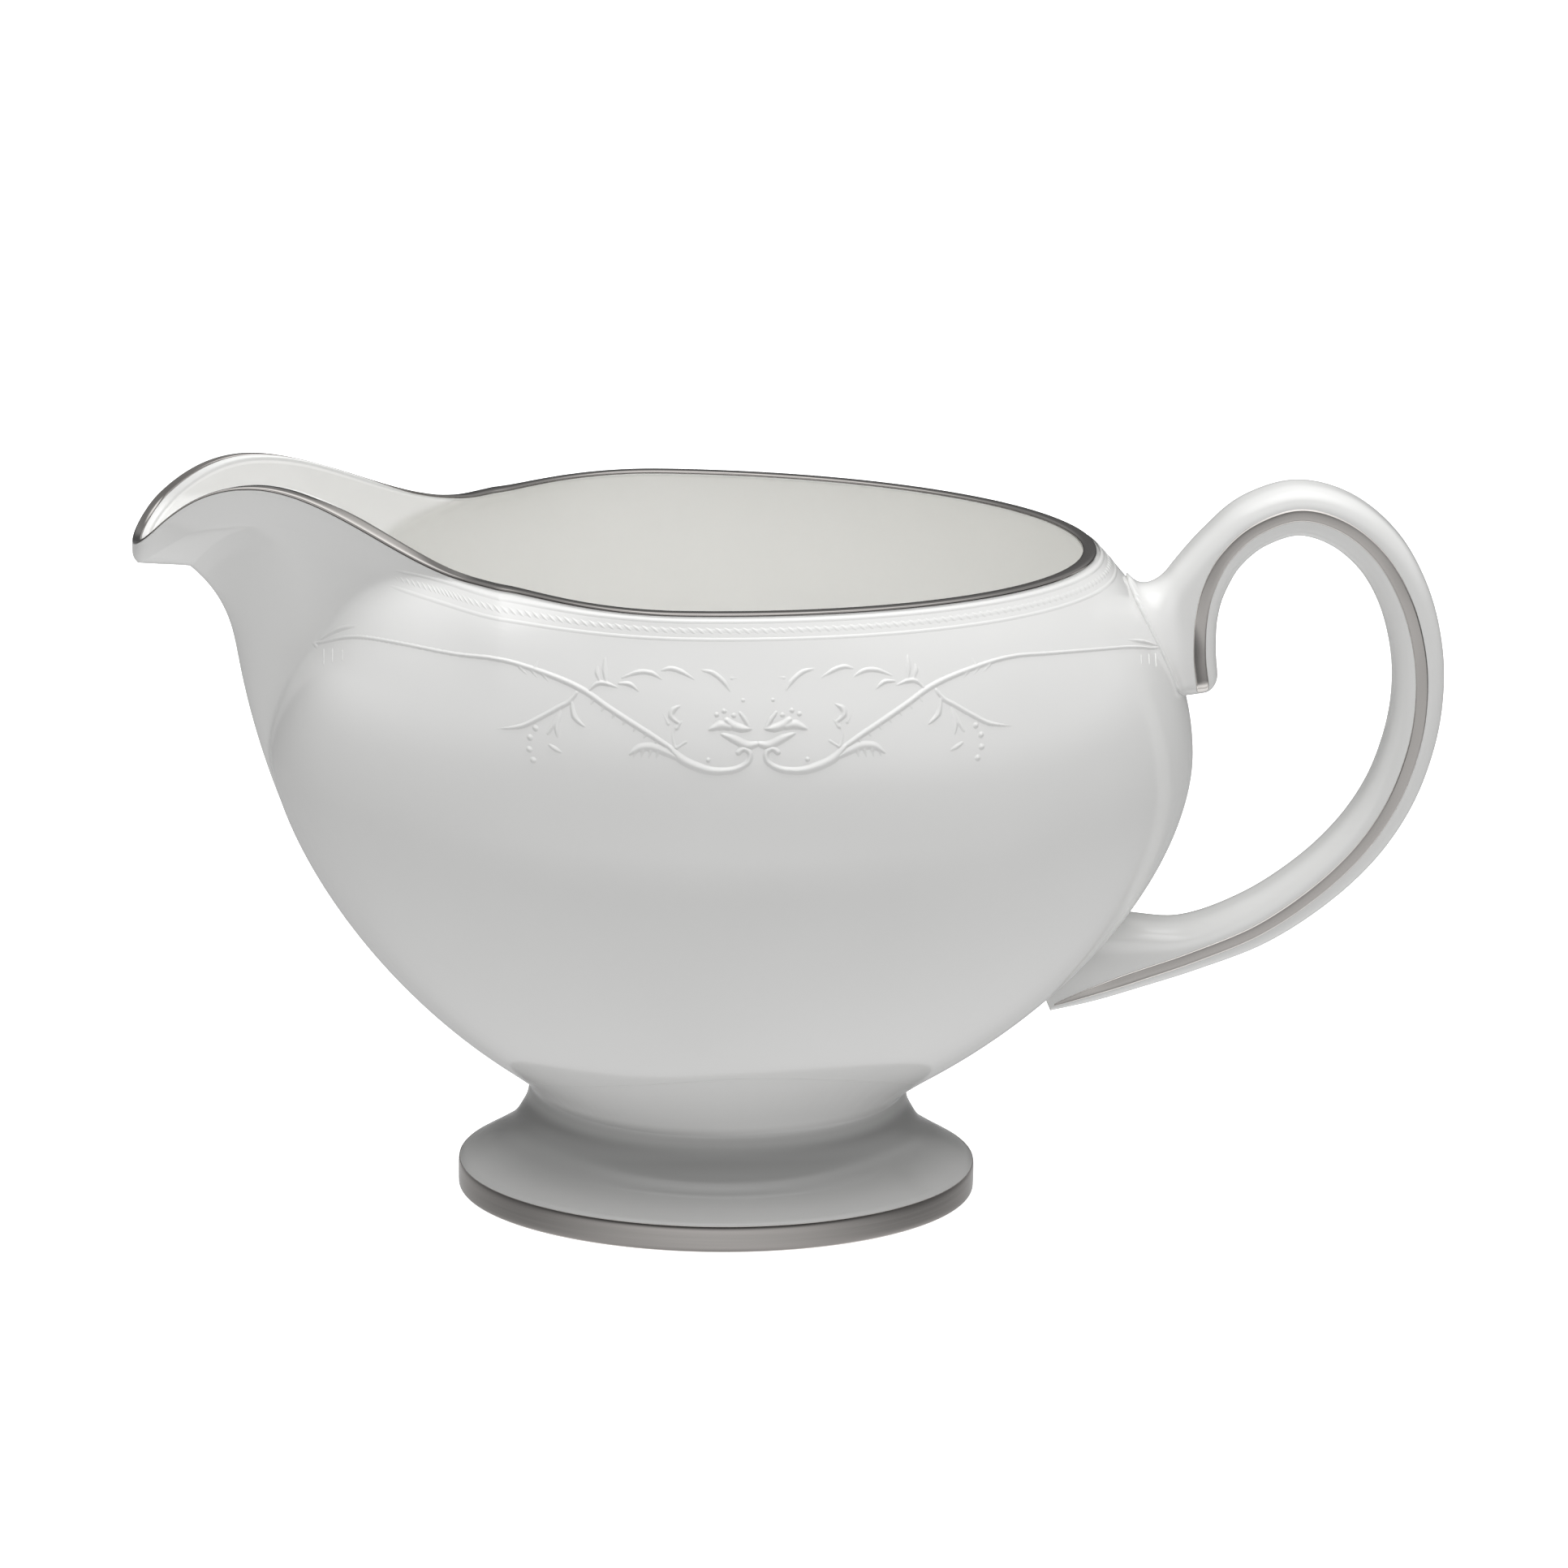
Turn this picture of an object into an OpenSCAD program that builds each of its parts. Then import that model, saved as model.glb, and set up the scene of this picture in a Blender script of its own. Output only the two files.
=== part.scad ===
// A footed porcelain sauce boat with platinum lines, in millimetres.
// Z is up and the origin is the centre of the foot on the table.
// The spout points along -X, the handle along +X, and the front face looks along -Y.

/* [Bowl] */
// Height of the level part of the rim above the table, mm
rim_height = 103.8; // [98:0.2:110]
// Height at which the body is widest, mm
widest_height = 70; // [66:0.5:74]
// Reach of the body from its axis to the handle end, mm
stern_reach = 71.4; // [68:0.2:74]
// Reach of the body from its axis towards the spout, mm
bow_reach = 70.5; // [66:0.2:72]
// Width of the body divided by its length
body_ratio = 0.765; // [0.7:0.005:0.82]
// Thickness of the wall and the lip, mm
wall = 2.4; // [2:0.1:3.2]
// Height of the floor inside the bowl, mm
floor_height = 19.8; // [19:0.2:22]

/* [Spout] */
// Reach of the pouring tip from the foot's axis, mm
spout_reach = 90.3; // [86:0.1:94]
// Half width of the spout outside, mm
spout_half_width = 11; // [9:0.2:13]
// Rise of the rim over the spout, mm
spout_rise = 9.8; // [6:0.2:12]
// Fall of the tip below the level rim, mm
tip_drop = 1; // [0:0.1:3]

/* [Foot] */
// Half length of the foot at its widest, mm
foot_reach = 40.2; // [36:0.2:44]
// Width of the foot divided by its length
foot_ratio = 0.82; // [0.76:0.01:0.9]
// Height of the seam between foot and bowl, mm
seam_height = 17.4; // [17:0.1:18]
// Height of the platinum band round the foot's edge, mm
foot_band_height = 4.2; // [3:0.1:5]

/* [Handle] */
// Half width of the handle from front to back, mm
handle_half_width = 5.5; // [4.5:0.1:6.5]
// Half thickness of the handle at the top of its arch, mm
handle_half_thickness = 3.6; // [3:0.1:4.2]
// Width of the platinum stripe on each side of the handle, mm
stripe_width = 1.9; // [1.2:0.1:2.2]

/* [Relief] */
// Height that the moulded relief stands proud of the body, mm
relief_height = 0.7; // [0.4:0.05:1.1]
// Diameter of the beads in the border below the rim, mm
bead_size = 1.3; // [0.9:0.1:1.6]
// Number of beads on each side of the border
bead_count = 56; // [30:1:70]

/* [Hidden] */

glaze_colour = [0.93, 0.93, 0.91];
platinum_colour = [0.62, 0.60, 0.58];
platinum_thickness = 0.4;
root = 0.12;            // depth that a moulded piece is let into the wall it stands on

// ---- small functions ----
function clamp01(t) = min(1, max(0, t));
function ease(t) = let (c = clamp01(t)) c * c * (3 - 2 * c);
// A quarter of a rounded oval: 1 at the start of the curve and 0 at its end
function dome(t, n) = let (c = clamp01(t)) pow(1 - pow(c, n), 1 / n);
function mix(a, b, t) = a + (b - a) * t;

// ---- form of the bowl, by the level of each ring ----
body_axis = 1;          // x of the body's axis where it is widest
rim_axis = -8;          // x of the rim's widest place
base_axis = -5.8;       // x of the axis of the ovals that shape the underside
base_ratio = 0.82;      // width of the body divided by its length at the foot
belly_depth_stern = widest_height - 4.7;
belly_depth_bow = widest_height - 10.8;
belly_curve_stern = 1.7;
belly_curve_bow = 1.55;
shoulder_rise_stern = 80;
shoulder_rise_bow = 38.5;
shoulder_rise_side = 57.5;

function below_share(z) = clamp01((widest_height - z) / (widest_height - 16));
function above_share(z) = clamp01((z - widest_height) / (rim_height - widest_height));
function axis_x(z) =
    body_axis + (base_axis - body_axis) * pow(below_share(z), 2) + (rim_axis - body_axis) * pow(above_share(z), 2);
// Reach at level z of a wall that is `in` millimetres inside the outer one
function reach(z, full, depth, curve, rise, in) =
    z < widest_height
    ? (full - in) * dome((widest_height - z) / (depth - in), curve)
    : (full - in) * dome((z - widest_height) / rise, 2);
function stern(z, in) = reach(z, stern_reach, belly_depth_stern, belly_curve_stern, shoulder_rise_stern, in);
function bow(z, in) = reach(z, bow_reach, belly_depth_bow, belly_curve_bow, shoulder_rise_bow, in);
function beam(z, in) =
    z < widest_height
    ? mix(body_ratio, base_ratio, below_share(z)) * (stern(z, in) + bow(z, in)) / 2
    : (body_ratio * (stern_reach + bow_reach) / 2 - in) * dome((z - widest_height) / shoulder_rise_side, 2);

// The keel is the line under the spout: it leaves the belly, flares and turns out into the lip
keel_start = 60;
lip_start = rim_height - 4.35;
lip_turn = 0.6;         // height over which the keel turns out into the lip
lip_depth = 82;         // reach of the keel where it turns out
function keel(z, in) =
    z < keel_start ? bow(z, in) - axis_x(z) :
    let (
        up = z - keel_start,
        straight = 67.1 + 0.4 * up - 0.0045 * up * up,
        flare = 0.53 * pow(max(0, z - 84) / 7, 3),
        lip = (spout_reach - lip_depth) * ease((z - lip_start - 0.42 * in) / (lip_turn + 0.8 * in))
    )
    max(bow(z, in) - axis_x(z), min(spout_reach, straight + flare + lip) - in);
function spout_half(z, in) =
    max(0, spout_half_width * sqrt(clamp01((z - 55) / (rim_height - 55))) - in);
function nose_length(z) = 4 + 9 * clamp01((rim_height - z) / 6);

// Rises with t and levels off smoothly at cap
function soft_cap(t, cap, softness) = -softness * ln(exp(-t / softness) + exp(-cap / softness));

// Half width of the ring at level z and distance x along the boat
function half_width(x, z, in) =
    let (
        ax = axis_x(z),
        share = (x - ax) / (x > ax ? stern(z, in) : bow(z, in)),
        body = beam(z, in) * sqrt(max(0, 1 - share * share)),
        behind = x + keel(z, in),
        nose = sqrt(max(0, 1 - pow(1 - clamp01(behind / nose_length(z)), 2))),
        widening = 0.015 * pow(soft_cap(max(0, x + 72), 33, 1.5), 2),
        spout = (spout_half(z, in) + widening * ease((z - 80) / 20)) * nose * clamp01((-5 - x) / 30)
    )
    pow(pow(body, 5) + pow(max(0, spout), 5), 1 / 5);

// Sheer: how far the rim stands above its level, by the distance behind the tip
sheer_peak = 18;
sheer_end = 51;
function sheer(behind) =
    behind < sheer_peak
    ? mix(-tip_drop, spout_rise, 1 - pow(1 - behind / sheer_peak, 2.2))
    : spout_rise * ease((sheer_end - behind) / (sheer_end - sheer_peak));
rim_slope = 0.011;
function lift(x, z, in) =
    ease((z - 88) / (rim_height - 88)) * (sheer(x + keel(z, in)) - rim_slope * (x - rim_axis));

// ---- rings of points ----
sides = 76;
function ring_x(i, z, in) =
    let (front = -keel(z, in), back = axis_x(z) + stern(z, in))
    (front + back) / 2 - (back - front) / 2 * cos(360 * i / sides);
function ring_point(i, z, in, raise = 0) =
    let (x = ring_x(i, z, in), w = half_width(x, z, in))
    [x, (i <= sides / 2 ? -1 : 1) * w * (i == 0 || 2 * i == sides ? 0 : 1), z + lift(x, z, in) + raise];
function ring(z, in, raise = 0) = [for (i = [0 : sides - 1]) ring_point(i, z, in, raise)];

// Faces of a skin over rings of equal size. The rings run so that the outside faces out.
function skin_faces(count, n, wrap) = [
    for (r = [0 : (wrap ? count : count - 1) - 1]) for (i = [0 : n - 1])
        let (
            next = (r + 1) % count,
            a = r * n + i, b = r * n + (i + 1) % n, c = next * n + i, d = next * n + (i + 1) % n
        )
        each [[a, c, b], [b, c, d]]
];
function fan(first, n, centre, up) = [
    for (i = [0 : n - 1])
        let (a = first + i, b = first + (i + 1) % n)
        up ? [centre, b, a] : [centre, a, b]
];
module closed_skin(rings) {
    n = len(rings[0]);
    count = len(rings);
    points = concat([for (r = rings) each r], [centroid(rings[0]), centroid(rings[count - 1])]);
    polyhedron(points, concat(
        fan(0, n, count * n, false),
        skin_faces(count, n, false),
        fan((count - 1) * n, n, count * n + 1, true)
    ), convexity = 8);
}
function centroid(pts) = [for (k = [0 : 2]) total([for (p = pts) p[k]]) / len(pts)];
function total(v, i = 0) = i < len(v) ? v[i] + total(v, i + 1) : 0;

// ---- bowl ----
lip_top = rim_height - platinum_thickness;
outer_levels = [
    seam_height, 18.6, 20.8, 24, 28, 34, 41, 48, 55, 62, 69, 75, 80, 84.5, 88,
    91, 94, 96.4, 98.2, 99.1, 99.5, 99.7, 99.9, 100.3, 101, 102.2, lip_top
];
inner_levels = [
    lip_top, 102.6, 101.8, 101, 99.6, 97, 91, 86, 80, 72, 64, 56, 48, 40, 33, 27, 23, floor_height + 0.8
];
module bowl() {
    color(glaze_colour)
    closed_skin(concat(
        [for (z = outer_levels) ring(z, 0)],
        [for (z = inner_levels) ring(z, wall)],
        [[for (p = ring(floor_height + 0.8, wall)) [p[0] * 0.94, p[1] * 0.94, floor_height]]]
    ));
}

// The platinum line is a thin cap on the lip, laid on the same grid as the bowl's edge
module rim_band() {
    color(platinum_colour)
    hoop([
        ring(lip_top, 0),
        ring(lip_top, 0.15, platinum_thickness * 0.6),
        ring(lip_top, wall * 0.3, platinum_thickness),
        ring(lip_top, wall * 0.7, platinum_thickness),
        ring(lip_top, wall - 0.15, platinum_thickness * 0.6),
        ring(lip_top, wall)
    ]);
}
// A closed band: rings of equal size joined first to last
module hoop(rings) {
    n = len(rings[0]);
    count = len(rings);
    polyhedron([for (r = rings) each r], skin_faces(count, n, true), convexity = 8);
}

// ---- foot: a hollow flared pedestal, oval in plan ----
neck_reach = 29.2;
neck_ratio = 0.92;      // width of the neck divided by its length
neck_top = 16.4;        // level where the neck is narrowest
band_reach = foot_reach - 0.35;
foot_ring_in = foot_reach - 5.4;
foot_ring_out = band_reach - 0.5;
foot_edge = 0.5;        // height of the small step that the foot stands on
band_start = 0.9;
foot_sides = 96;
// Distance from the foot's axis, at angle a, of an oval that grows rounder towards the neck
function oval_reach(reach, z, a) =
    let (ratio = mix(foot_ratio, neck_ratio, ease((z - 5) / 9)))
    reach / sqrt(pow(cos(a), 2) + pow(sin(a) / ratio, 2));
function at_angle(distance, a, z) = [distance * cos(a), distance * sin(a), z];
function oval_ring(reach, z) = [
    for (i = [0 : foot_sides - 1])
        let (a = 360 * i / foot_sides)
        at_angle(oval_reach(reach, z, a), a, z)
];

// Distance of the belly's wall from the foot's axis at angle a and level z
function oval_hit(a, z, along) =
    let (
        p = axis_x(z) * cos(a) / pow(along, 2),
        q = pow(cos(a) / along, 2) + pow(sin(a) / beam(z, 0), 2),
        r = 1 - pow(axis_x(z) / along, 2)
    )
    (p + sqrt(p * p + q * r)) / q;
function belly_at(a, z) =
    let (d = oval_hit(a, z, stern(z, 0)))
    d * cos(a) > axis_x(z) ? d : oval_hit(a, z, bow(z, 0));

// The neck runs up on to the belly as a thin collar, highest at the front and back
function collar_reach(a) = neck_reach + 1.4 + 6.1 * pow(abs(sin(a)), 0.6);
function collar_top(a, low = seam_height, high = 34, tries = 12) =
    let (middle = (low + high) / 2)
    tries == 0 ? middle :
    belly_at(a, middle) > collar_reach(a)
    ? collar_top(a, low, middle, tries - 1)
    : collar_top(a, middle, high, tries - 1);
collar_tops = [for (i = [0 : foot_sides - 1]) collar_top(360 * i / foot_sides)];
// The collar's outside: a curve from upright at the neck to the slope of the belly
function collar_ring(t) = [
    for (i = [0 : foot_sides - 1])
        let (
            a = 360 * i / foot_sides, top = collar_tops[i],
            start = oval_reach(neck_reach, neck_top, a), end = belly_at(a, top),
            slope = (belly_at(a, top + 0.2) - end) / 0.2,
            bend = max(neck_top + 0.4, top - (end - start) / slope),
            s = 1 - t
        )
        at_angle(s * s * start + 2 * s * t * start + t * t * (end + 0.05), a,
            s * s * neck_top + 2 * s * t * bend + t * t * top)
];
// The collar's inside follows the belly, let in by the root depth
function collar_bed(t) = [
    for (i = [0 : foot_sides - 1])
        let (a = 360 * i / foot_sides, z = mix(collar_tops[i], seam_height, t))
        at_angle(belly_at(a, z) - root, a, z)
];
module oval_slab(reach) { polygon([for (p = oval_ring(reach, 0)) [p[0], p[1]]]); }
foot_outside = [
    [foot_ring_out, foot_edge], [band_reach, band_start], [band_reach, foot_band_height],
    [band_reach - 0.5, foot_band_height + 0.3],
    [neck_reach + 9.2, 5.2], [neck_reach + 7.2, 6.4], [neck_reach + 4.8, 7.9], [neck_reach + 2.9, 9.6],
    [neck_reach + 1.5, 11.7], [neck_reach + 0.5, 13.8], [neck_reach, neck_top]
];
foot_inside = [
    [neck_reach - 4.6, seam_height], [neck_reach - 4.6, 13.5], [neck_reach - 2.4, 10],
    [neck_reach + 1.6, 6], [foot_ring_in - 0.8, 1.4], [foot_ring_in, foot_edge]
];
module foot() {
    color(glaze_colour) {
        hoop(concat(
            [for (p = foot_outside) oval_ring(p[0], p[1])],
            [for (t = [0.35, 0.7, 1]) collar_ring(t)],
            [for (t = [0, 0.5, 1]) collar_bed(t)],
            [for (p = foot_inside) oval_ring(p[0], p[1])]
        ));
        // The flat ring that the foot stands on
        linear_extrude(height = foot_edge) difference() {
            oval_slab(foot_ring_out);
            oval_slab(foot_ring_in);
        }
    }
}
module foot_band() {
    color(platinum_colour)
    hoop([
        oval_ring(band_reach, band_start), oval_ring(foot_reach - 0.05, 1.4), oval_ring(foot_reach, 2.2),
        oval_ring(foot_reach - 0.05, 3.2), oval_ring(band_reach, foot_band_height)
    ]);
}

// ---- handle ----
// Points of the centre line in the plane of the handle, from the upper joint to the lower one
handle_line = [
    [73.8, 78.6], [73.3, 82], [72.6, 87], [72.6, 92.5], [73.6, 97.6], [76.2, 102.8], [80.8, 107], [87.4, 109.2],
    [94.2, 107.3], [100.1, 102.3], [104.1, 95.4], [106.4, 87.6], [107, 80], [106.1, 72.2], [103.3, 63.8], [98.5, 56.1],
    [91.7, 49.2], [83, 43.1], [73.2, 38.9], [64.6, 36], [57, 33.4], [50.8, 30.8]
];
// Half thickness on the inner and outer side of the line, and half width, at each of its points
handle_inner = [
    1.4, 2.5, 2.9, 3, 3.2, 3.4, 3.5, 3.6, 3.6, 3.7, 3.8, 3.9, 3.9, 4, 4, 4, 4, 4.1, 4.5, 8.2, 12, 8
];
handle_outer = [
    6, 7, 8, 8, 5.2, 3.8, 3.8, 3.8, 4, 4.1, 4.1, 4, 3.9, 3.8, 3.8, 3.8, 3.7, 3.5, 3.2, 3, 2.6, 1.4
];
handle_width = [
    3.4, 4.8, 5.6, 5.8, 5.8, 5.7, 5.6, 5.5, 5.5, 5.4, 5.4, 5.3, 5.3, 5.3, 5.3, 5.4, 5.5, 5.8, 6.2, 6.8, 7.2, 6.4
];
steps_per_span = 3;

function curve_at(v, i, t) =
    let (
        n = len(v) - 1,
        a = v[max(0, i - 1)], b = v[i], c = v[min(n, i + 1)], d = v[min(n, i + 2)]
    )
    b + (c - a) * t / 2 + (2 * a - 5 * b + 4 * c - d) * t * t / 2 + (3 * b - a - 3 * c + d) * t * t * t / 2;
function along(v, s) = let (i = min(len(v) - 2, floor(s))) curve_at(v, i, s - i);
function unit(v) = v / norm(v);
handle_spans = len(handle_line) - 1;
handle_stations = [for (k = [0 : handle_spans * steps_per_span]) k / steps_per_span];
function handle_across(s) =
    let (d = unit(along(handle_line, min(handle_spans, s + 0.05)) - along(handle_line, max(0, s - 0.05))))
    [d[1], -d[0]];
// The section: share of the thickness and share of the width
handle_section = [
    [1, 0], [0.94, 0.5], [0.74, 0.86], [0.28, 1], [-0.28, 1], [-0.74, 0.86], [-0.94, 0.5],
    [-1, 0], [-0.94, -0.5], [-0.74, -0.86], [-0.28, -1], [0.28, -1], [0.74, -0.86], [0.94, -0.5]
];
// The handle never enters the bowl: a point that would is laid on the bowl's surface
function on_or_outside(p) =
    [max(p[0], axis_x(p[2]) + stern(p[2], root) * sqrt(max(0, 1 - pow(p[1] / max(1, beam(p[2], root)), 2)))), p[1], p[2]];
function handle_point(s, r, y) =
    let (
        c = along(handle_line, s), q = handle_across(s),
        h = along(r > 0 ? handle_inner : handle_outer, s),
        w = along(handle_width, s) * handle_half_width / 5.5
    )
    [c[0] + q[0] * r * h, y * w, c[1] + q[1] * r * h];
module handle() {
    color(glaze_colour)
    closed_skin([for (s = handle_stations) [for (p = handle_section) on_or_outside(handle_point(s, p[0], p[1]))]]);
}
module handle_stripe(side) {
    color(platinum_colour)
    closed_skin([for (s = handle_stations) if (s > 0.6 && s < handle_spans - 0.5)
        let (
            c = handle_point(s, 0, side), q = handle_across(s), h = stripe_width / 2,
            a = on_or_outside(c + [q[0] * h, 0, q[1] * h]),
            b = on_or_outside(c - [q[0] * h, 0, q[1] * h]),
            out = [0, side * platinum_thickness, 0]
        )
        side > 0 ? [a, a + out, b + out, b] : [b, b + out, a + out, a]
    ]);
}
module handle_stripe_front() { handle_stripe(-1); }
module handle_stripe_back() { handle_stripe(1); }

// ---- collar: two fine ridges with a row of beads between them, below the rim ----
collar_level = rim_height - 2.2;
ridge_gap = 1.15;
ridge_height = 0.45;
collar_first = 15;      // grid position where the collar starts, beside the spout
// A strip along one level of the wall: `rise` is how far it stands proud at each position
module collar_strip(level, half, positions, rises) {
    color(glaze_colour)
    closed_skin([for (k = [0 : len(positions) - 1])
        let (i = positions[k], rise = rises[k])
        [
            ring_point(i, level + half, root), ring_point(i, level + half * 0.45, -rise),
            ring_point(i, level - half * 0.45, -rise), ring_point(i, level - half, root)
        ]
    ]);
}
ridge_positions = [for (i = [collar_first : sides - collar_first]) i];
function ridge_rise(i) =
    ridge_height * (0.15 + 0.85 * ease(min(i - collar_first, sides - collar_first - i) / 2));
ridge_rises = [for (i = ridge_positions) ridge_rise(i)];
module collar_ridge_upper() { collar_strip(collar_level + ridge_gap, 0.4, ridge_positions, ridge_rises); }
module collar_ridge_lower() { collar_strip(collar_level - ridge_gap, 0.4, ridge_positions, ridge_rises); }
// The beads swell and fall twice as finely as they are counted
bead_steps = bead_count * 4;
bead_positions = [
    for (k = [0 : bead_steps]) collar_first + 1 + (sides - 2 * collar_first - 2) * k / bead_steps
];
module collar_beads() {
    collar_strip(collar_level, bead_size / 2, bead_positions,
        [for (k = [0 : bead_steps]) k % 2 == 0 ? 0.12 : 0.6]);
}

// ---- relief: a mirrored garland on the front and the back of the body ----
// Each point is [distance from the ornament's middle, level on the wall]
relief_axis = 2.9;
function relief_x(u, half) = relief_axis + half * (half > 0 ? u - 0.08 * max(0, u - 40) : u);
function wall_point(u, level, out, face, half) =
    let (x = relief_x(u, half)) [x, face * half_width(x, level, -out), level + lift(x, level, 0)];
// A tapering rib along a line of points. widths gives its half width at each point.
module rib(line, widths, face, half, steps = 2, tall = relief_height) {
    last = len(line) - 1;
    closed_skin([for (k = [0 : last * steps])
        let (
            s = k / steps, c = along(line, s), w = along(widths, s),
            d = unit(along(line, min(last, s + 0.05)) - along(line, max(0, s - 0.05))),
            q = [-d[1], d[0]] * w, h = tall * min(1, w / 0.45),
            row = [
                wall_point(c[0] - q[0], c[1] - q[1], -root, face, half),
                wall_point(c[0] - q[0] * 0.5, c[1] - q[1] * 0.5, h, face, half),
                wall_point(c[0] + q[0] * 0.5, c[1] + q[1] * 0.5, h, face, half),
                wall_point(c[0] + q[0], c[1] + q[1], -root, face, half)
            ]
        )
        face * half > 0 ? row : [row[3], row[2], row[1], row[0]]
    ]);
}
// A raised pad with the given outline, standing on the wall
module pad(outline, face, half, tall = relief_height) {
    m = [for (k = [0 : 1]) total([for (p = outline) p[k]]) / len(outline)];
    function layer(share, out) = [for (p = outline)
        wall_point(m[0] + (p[0] - m[0]) * share, m[1] + (p[1] - m[1]) * share, out, face, half)];
    rows = [layer(1, -root), layer(0.85, tall * 0.7), layer(0.45, tall)];
    closed_skin(face * half < 0 ? rows : [for (r = rows) [for (i = [len(r) - 1 : -1 : 0]) r[i]]]);
}
module berry(at, size, face, half) {
    pad([for (a = [0 : 60 : 300]) at + size / 2 * [cos(a), sin(a)]], face, half, size * 0.55);
}
module both_halves() { for (half = [-1, 1]) { $half = half; children(); } }

garland_line = [
    [64.2, 89.8], [60.8, 91.6], [56.8, 92.9], [50.2, 94.2], [42.5, 95.2], [38.6, 95.5], [34.7, 95.2],
    [29.4, 94.1], [25.6, 92.7], [19.1, 89.3], [14.6, 86.8], [11.6, 84.6], [8.9, 83.1], [6.7, 82.3],
    [4.3, 82.3], [2.4, 83], [1.4, 84.2], [2, 85.2]
];
garland_widths = [
    0.3, 0.4, 0.4, 0.4, 0.4, 0.4, 0.45, 0.5, 0.55, 0.55, 0.55, 0.7, 0.7, 0.65, 0.6, 0.55, 0.55, 0.6
];
module garland(face) {
    color(glaze_colour)
    both_halves() rib(garland_line, garland_widths, face, $half);
}
branch_line = [[26.6, 91.5], [27.9, 90.4], [30.2, 89], [32.9, 87.7], [35.7, 86.7], [38.6, 86]];
droop_line = [[26.2, 90.9], [26.6, 89.4], [26.1, 88.4], [25.2, 87.6]];
sprig_line = [[29.4, 88.6], [29.6, 87.2], [29.2, 85.7]];
leaf_line = [[31, 85.2], [30.2, 84.3], [28.8, 83.6]];
foot_leaf_line = [[18.8, 84.2], [16.8, 85.3], [15.2, 85.2], [13.7, 84.6]];
module branches(face) {
    color(glaze_colour)
    both_halves() {
        rib(branch_line, [0.4, 0.5, 0.5, 0.5, 0.45, 0.15], face, $half);
        rib(droop_line, [0.15, 0.45, 0.5, 0.2], face, $half);
        rib(sprig_line, [0.2, 0.4, 0.2], face, $half);
        rib(leaf_line, [0.2, 0.45, 0.15], face, $half);
        rib(foot_leaf_line, [0.15, 0.55, 0.5, 0.2], face, $half);
    }
}
module berries(face) {
    color(glaze_colour)
    both_halves() for (at = [[32.5, 86.6], [33.6, 85.1], [33.5, 83.5], [33, 82]])
        berry(at, 1.2, face, $half);
}
arch_lines = [
    [[23.6, 93.2], [22.4, 94], [20.9, 93.9], [19.6, 93.1]],
    [[20.1, 95], [18, 95.8], [15.7, 95.8], [14.2, 95.1]],
    [[13.9, 96.2], [12.4, 96.4], [11, 96], [9, 95.3]],
    [[8.4, 96.1], [6.5, 96], [5.1, 95], [4.3, 93.4]],
    [[11.3, 91.4], [12.8, 90.7], [13, 89.8], [11.9, 89]]
];
module arches(face) {
    color(glaze_colour)
    both_halves() for (line = arch_lines) rib(line, [0.15, 0.45, 0.45, 0.15], face, $half);
}
blossom_outline = [
    [7, 88.3], [5.7, 88.9], [4.5, 89.1], [3.4, 88.7], [2.4, 88.3], [1.2, 87.9],
    [0.8, 86.9], [1.5, 86.1], [3, 85.8], [4.5, 86.1], [5.6, 86.8], [6.6, 87.4]
];
module blossoms(face) {
    color(glaze_colour)
    both_halves() {
        pad(blossom_outline, face, $half, relief_height * 1.2);
        for (at = [[6.2, 90.3], [4.9, 90.6], [3.5, 90.3], [1.8, 92.3]]) berry(at, 0.9, face, $half);
    }
}
module tassels(face) {
    color(glaze_colour)
    both_halves() {
        berry([65.4, 89.4], 1.2, face, $half);
        rib([[64.6, 90.6], [62, 92], [59, 93.2]], [0.2, 0.45, 0.15], face, $half);
        rib([[63.3, 88.9], [62.9, 87.6]], [0.25, 0.35], face, $half);
        rib([[61.9, 89.4], [61.3, 88]], [0.25, 0.35], face, $half);
    }
}
module garland_front() { garland(-1); }
module garland_back() { garland(1); }
module branches_front() { branches(-1); }
module branches_back() { branches(1); }
module berries_front() { berries(-1); }
module berries_back() { berries(1); }
module arches_front() { arches(-1); }
module arches_back() { arches(1); }
module blossoms_front() { blossoms(-1); }
module blossoms_back() { blossoms(1); }
module tassels_front() { tassels(-1); }
module tassels_back() { tassels(1); }

bowl();
foot();
handle();
rim_band();
foot_band();
handle_stripe_front();
handle_stripe_back();
collar_ridge_upper();
collar_beads();
collar_ridge_lower();
garland_front();
garland_back();
branches_front();
branches_back();
berries_front();
berries_back();
arches_front();
arches_back();
blossoms_front();
blossoms_back();
tassels_front();
tassels_back();
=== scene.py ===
"""Looks of a footed porcelain sauce boat with platinum lines and a moulded garland.

Lengths in the form functions are millimetres, as in the part's source; `MM` turns them into metres.
"""

import math

import bpy
import numpy as np
from mathutils import Matrix, Vector


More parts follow.
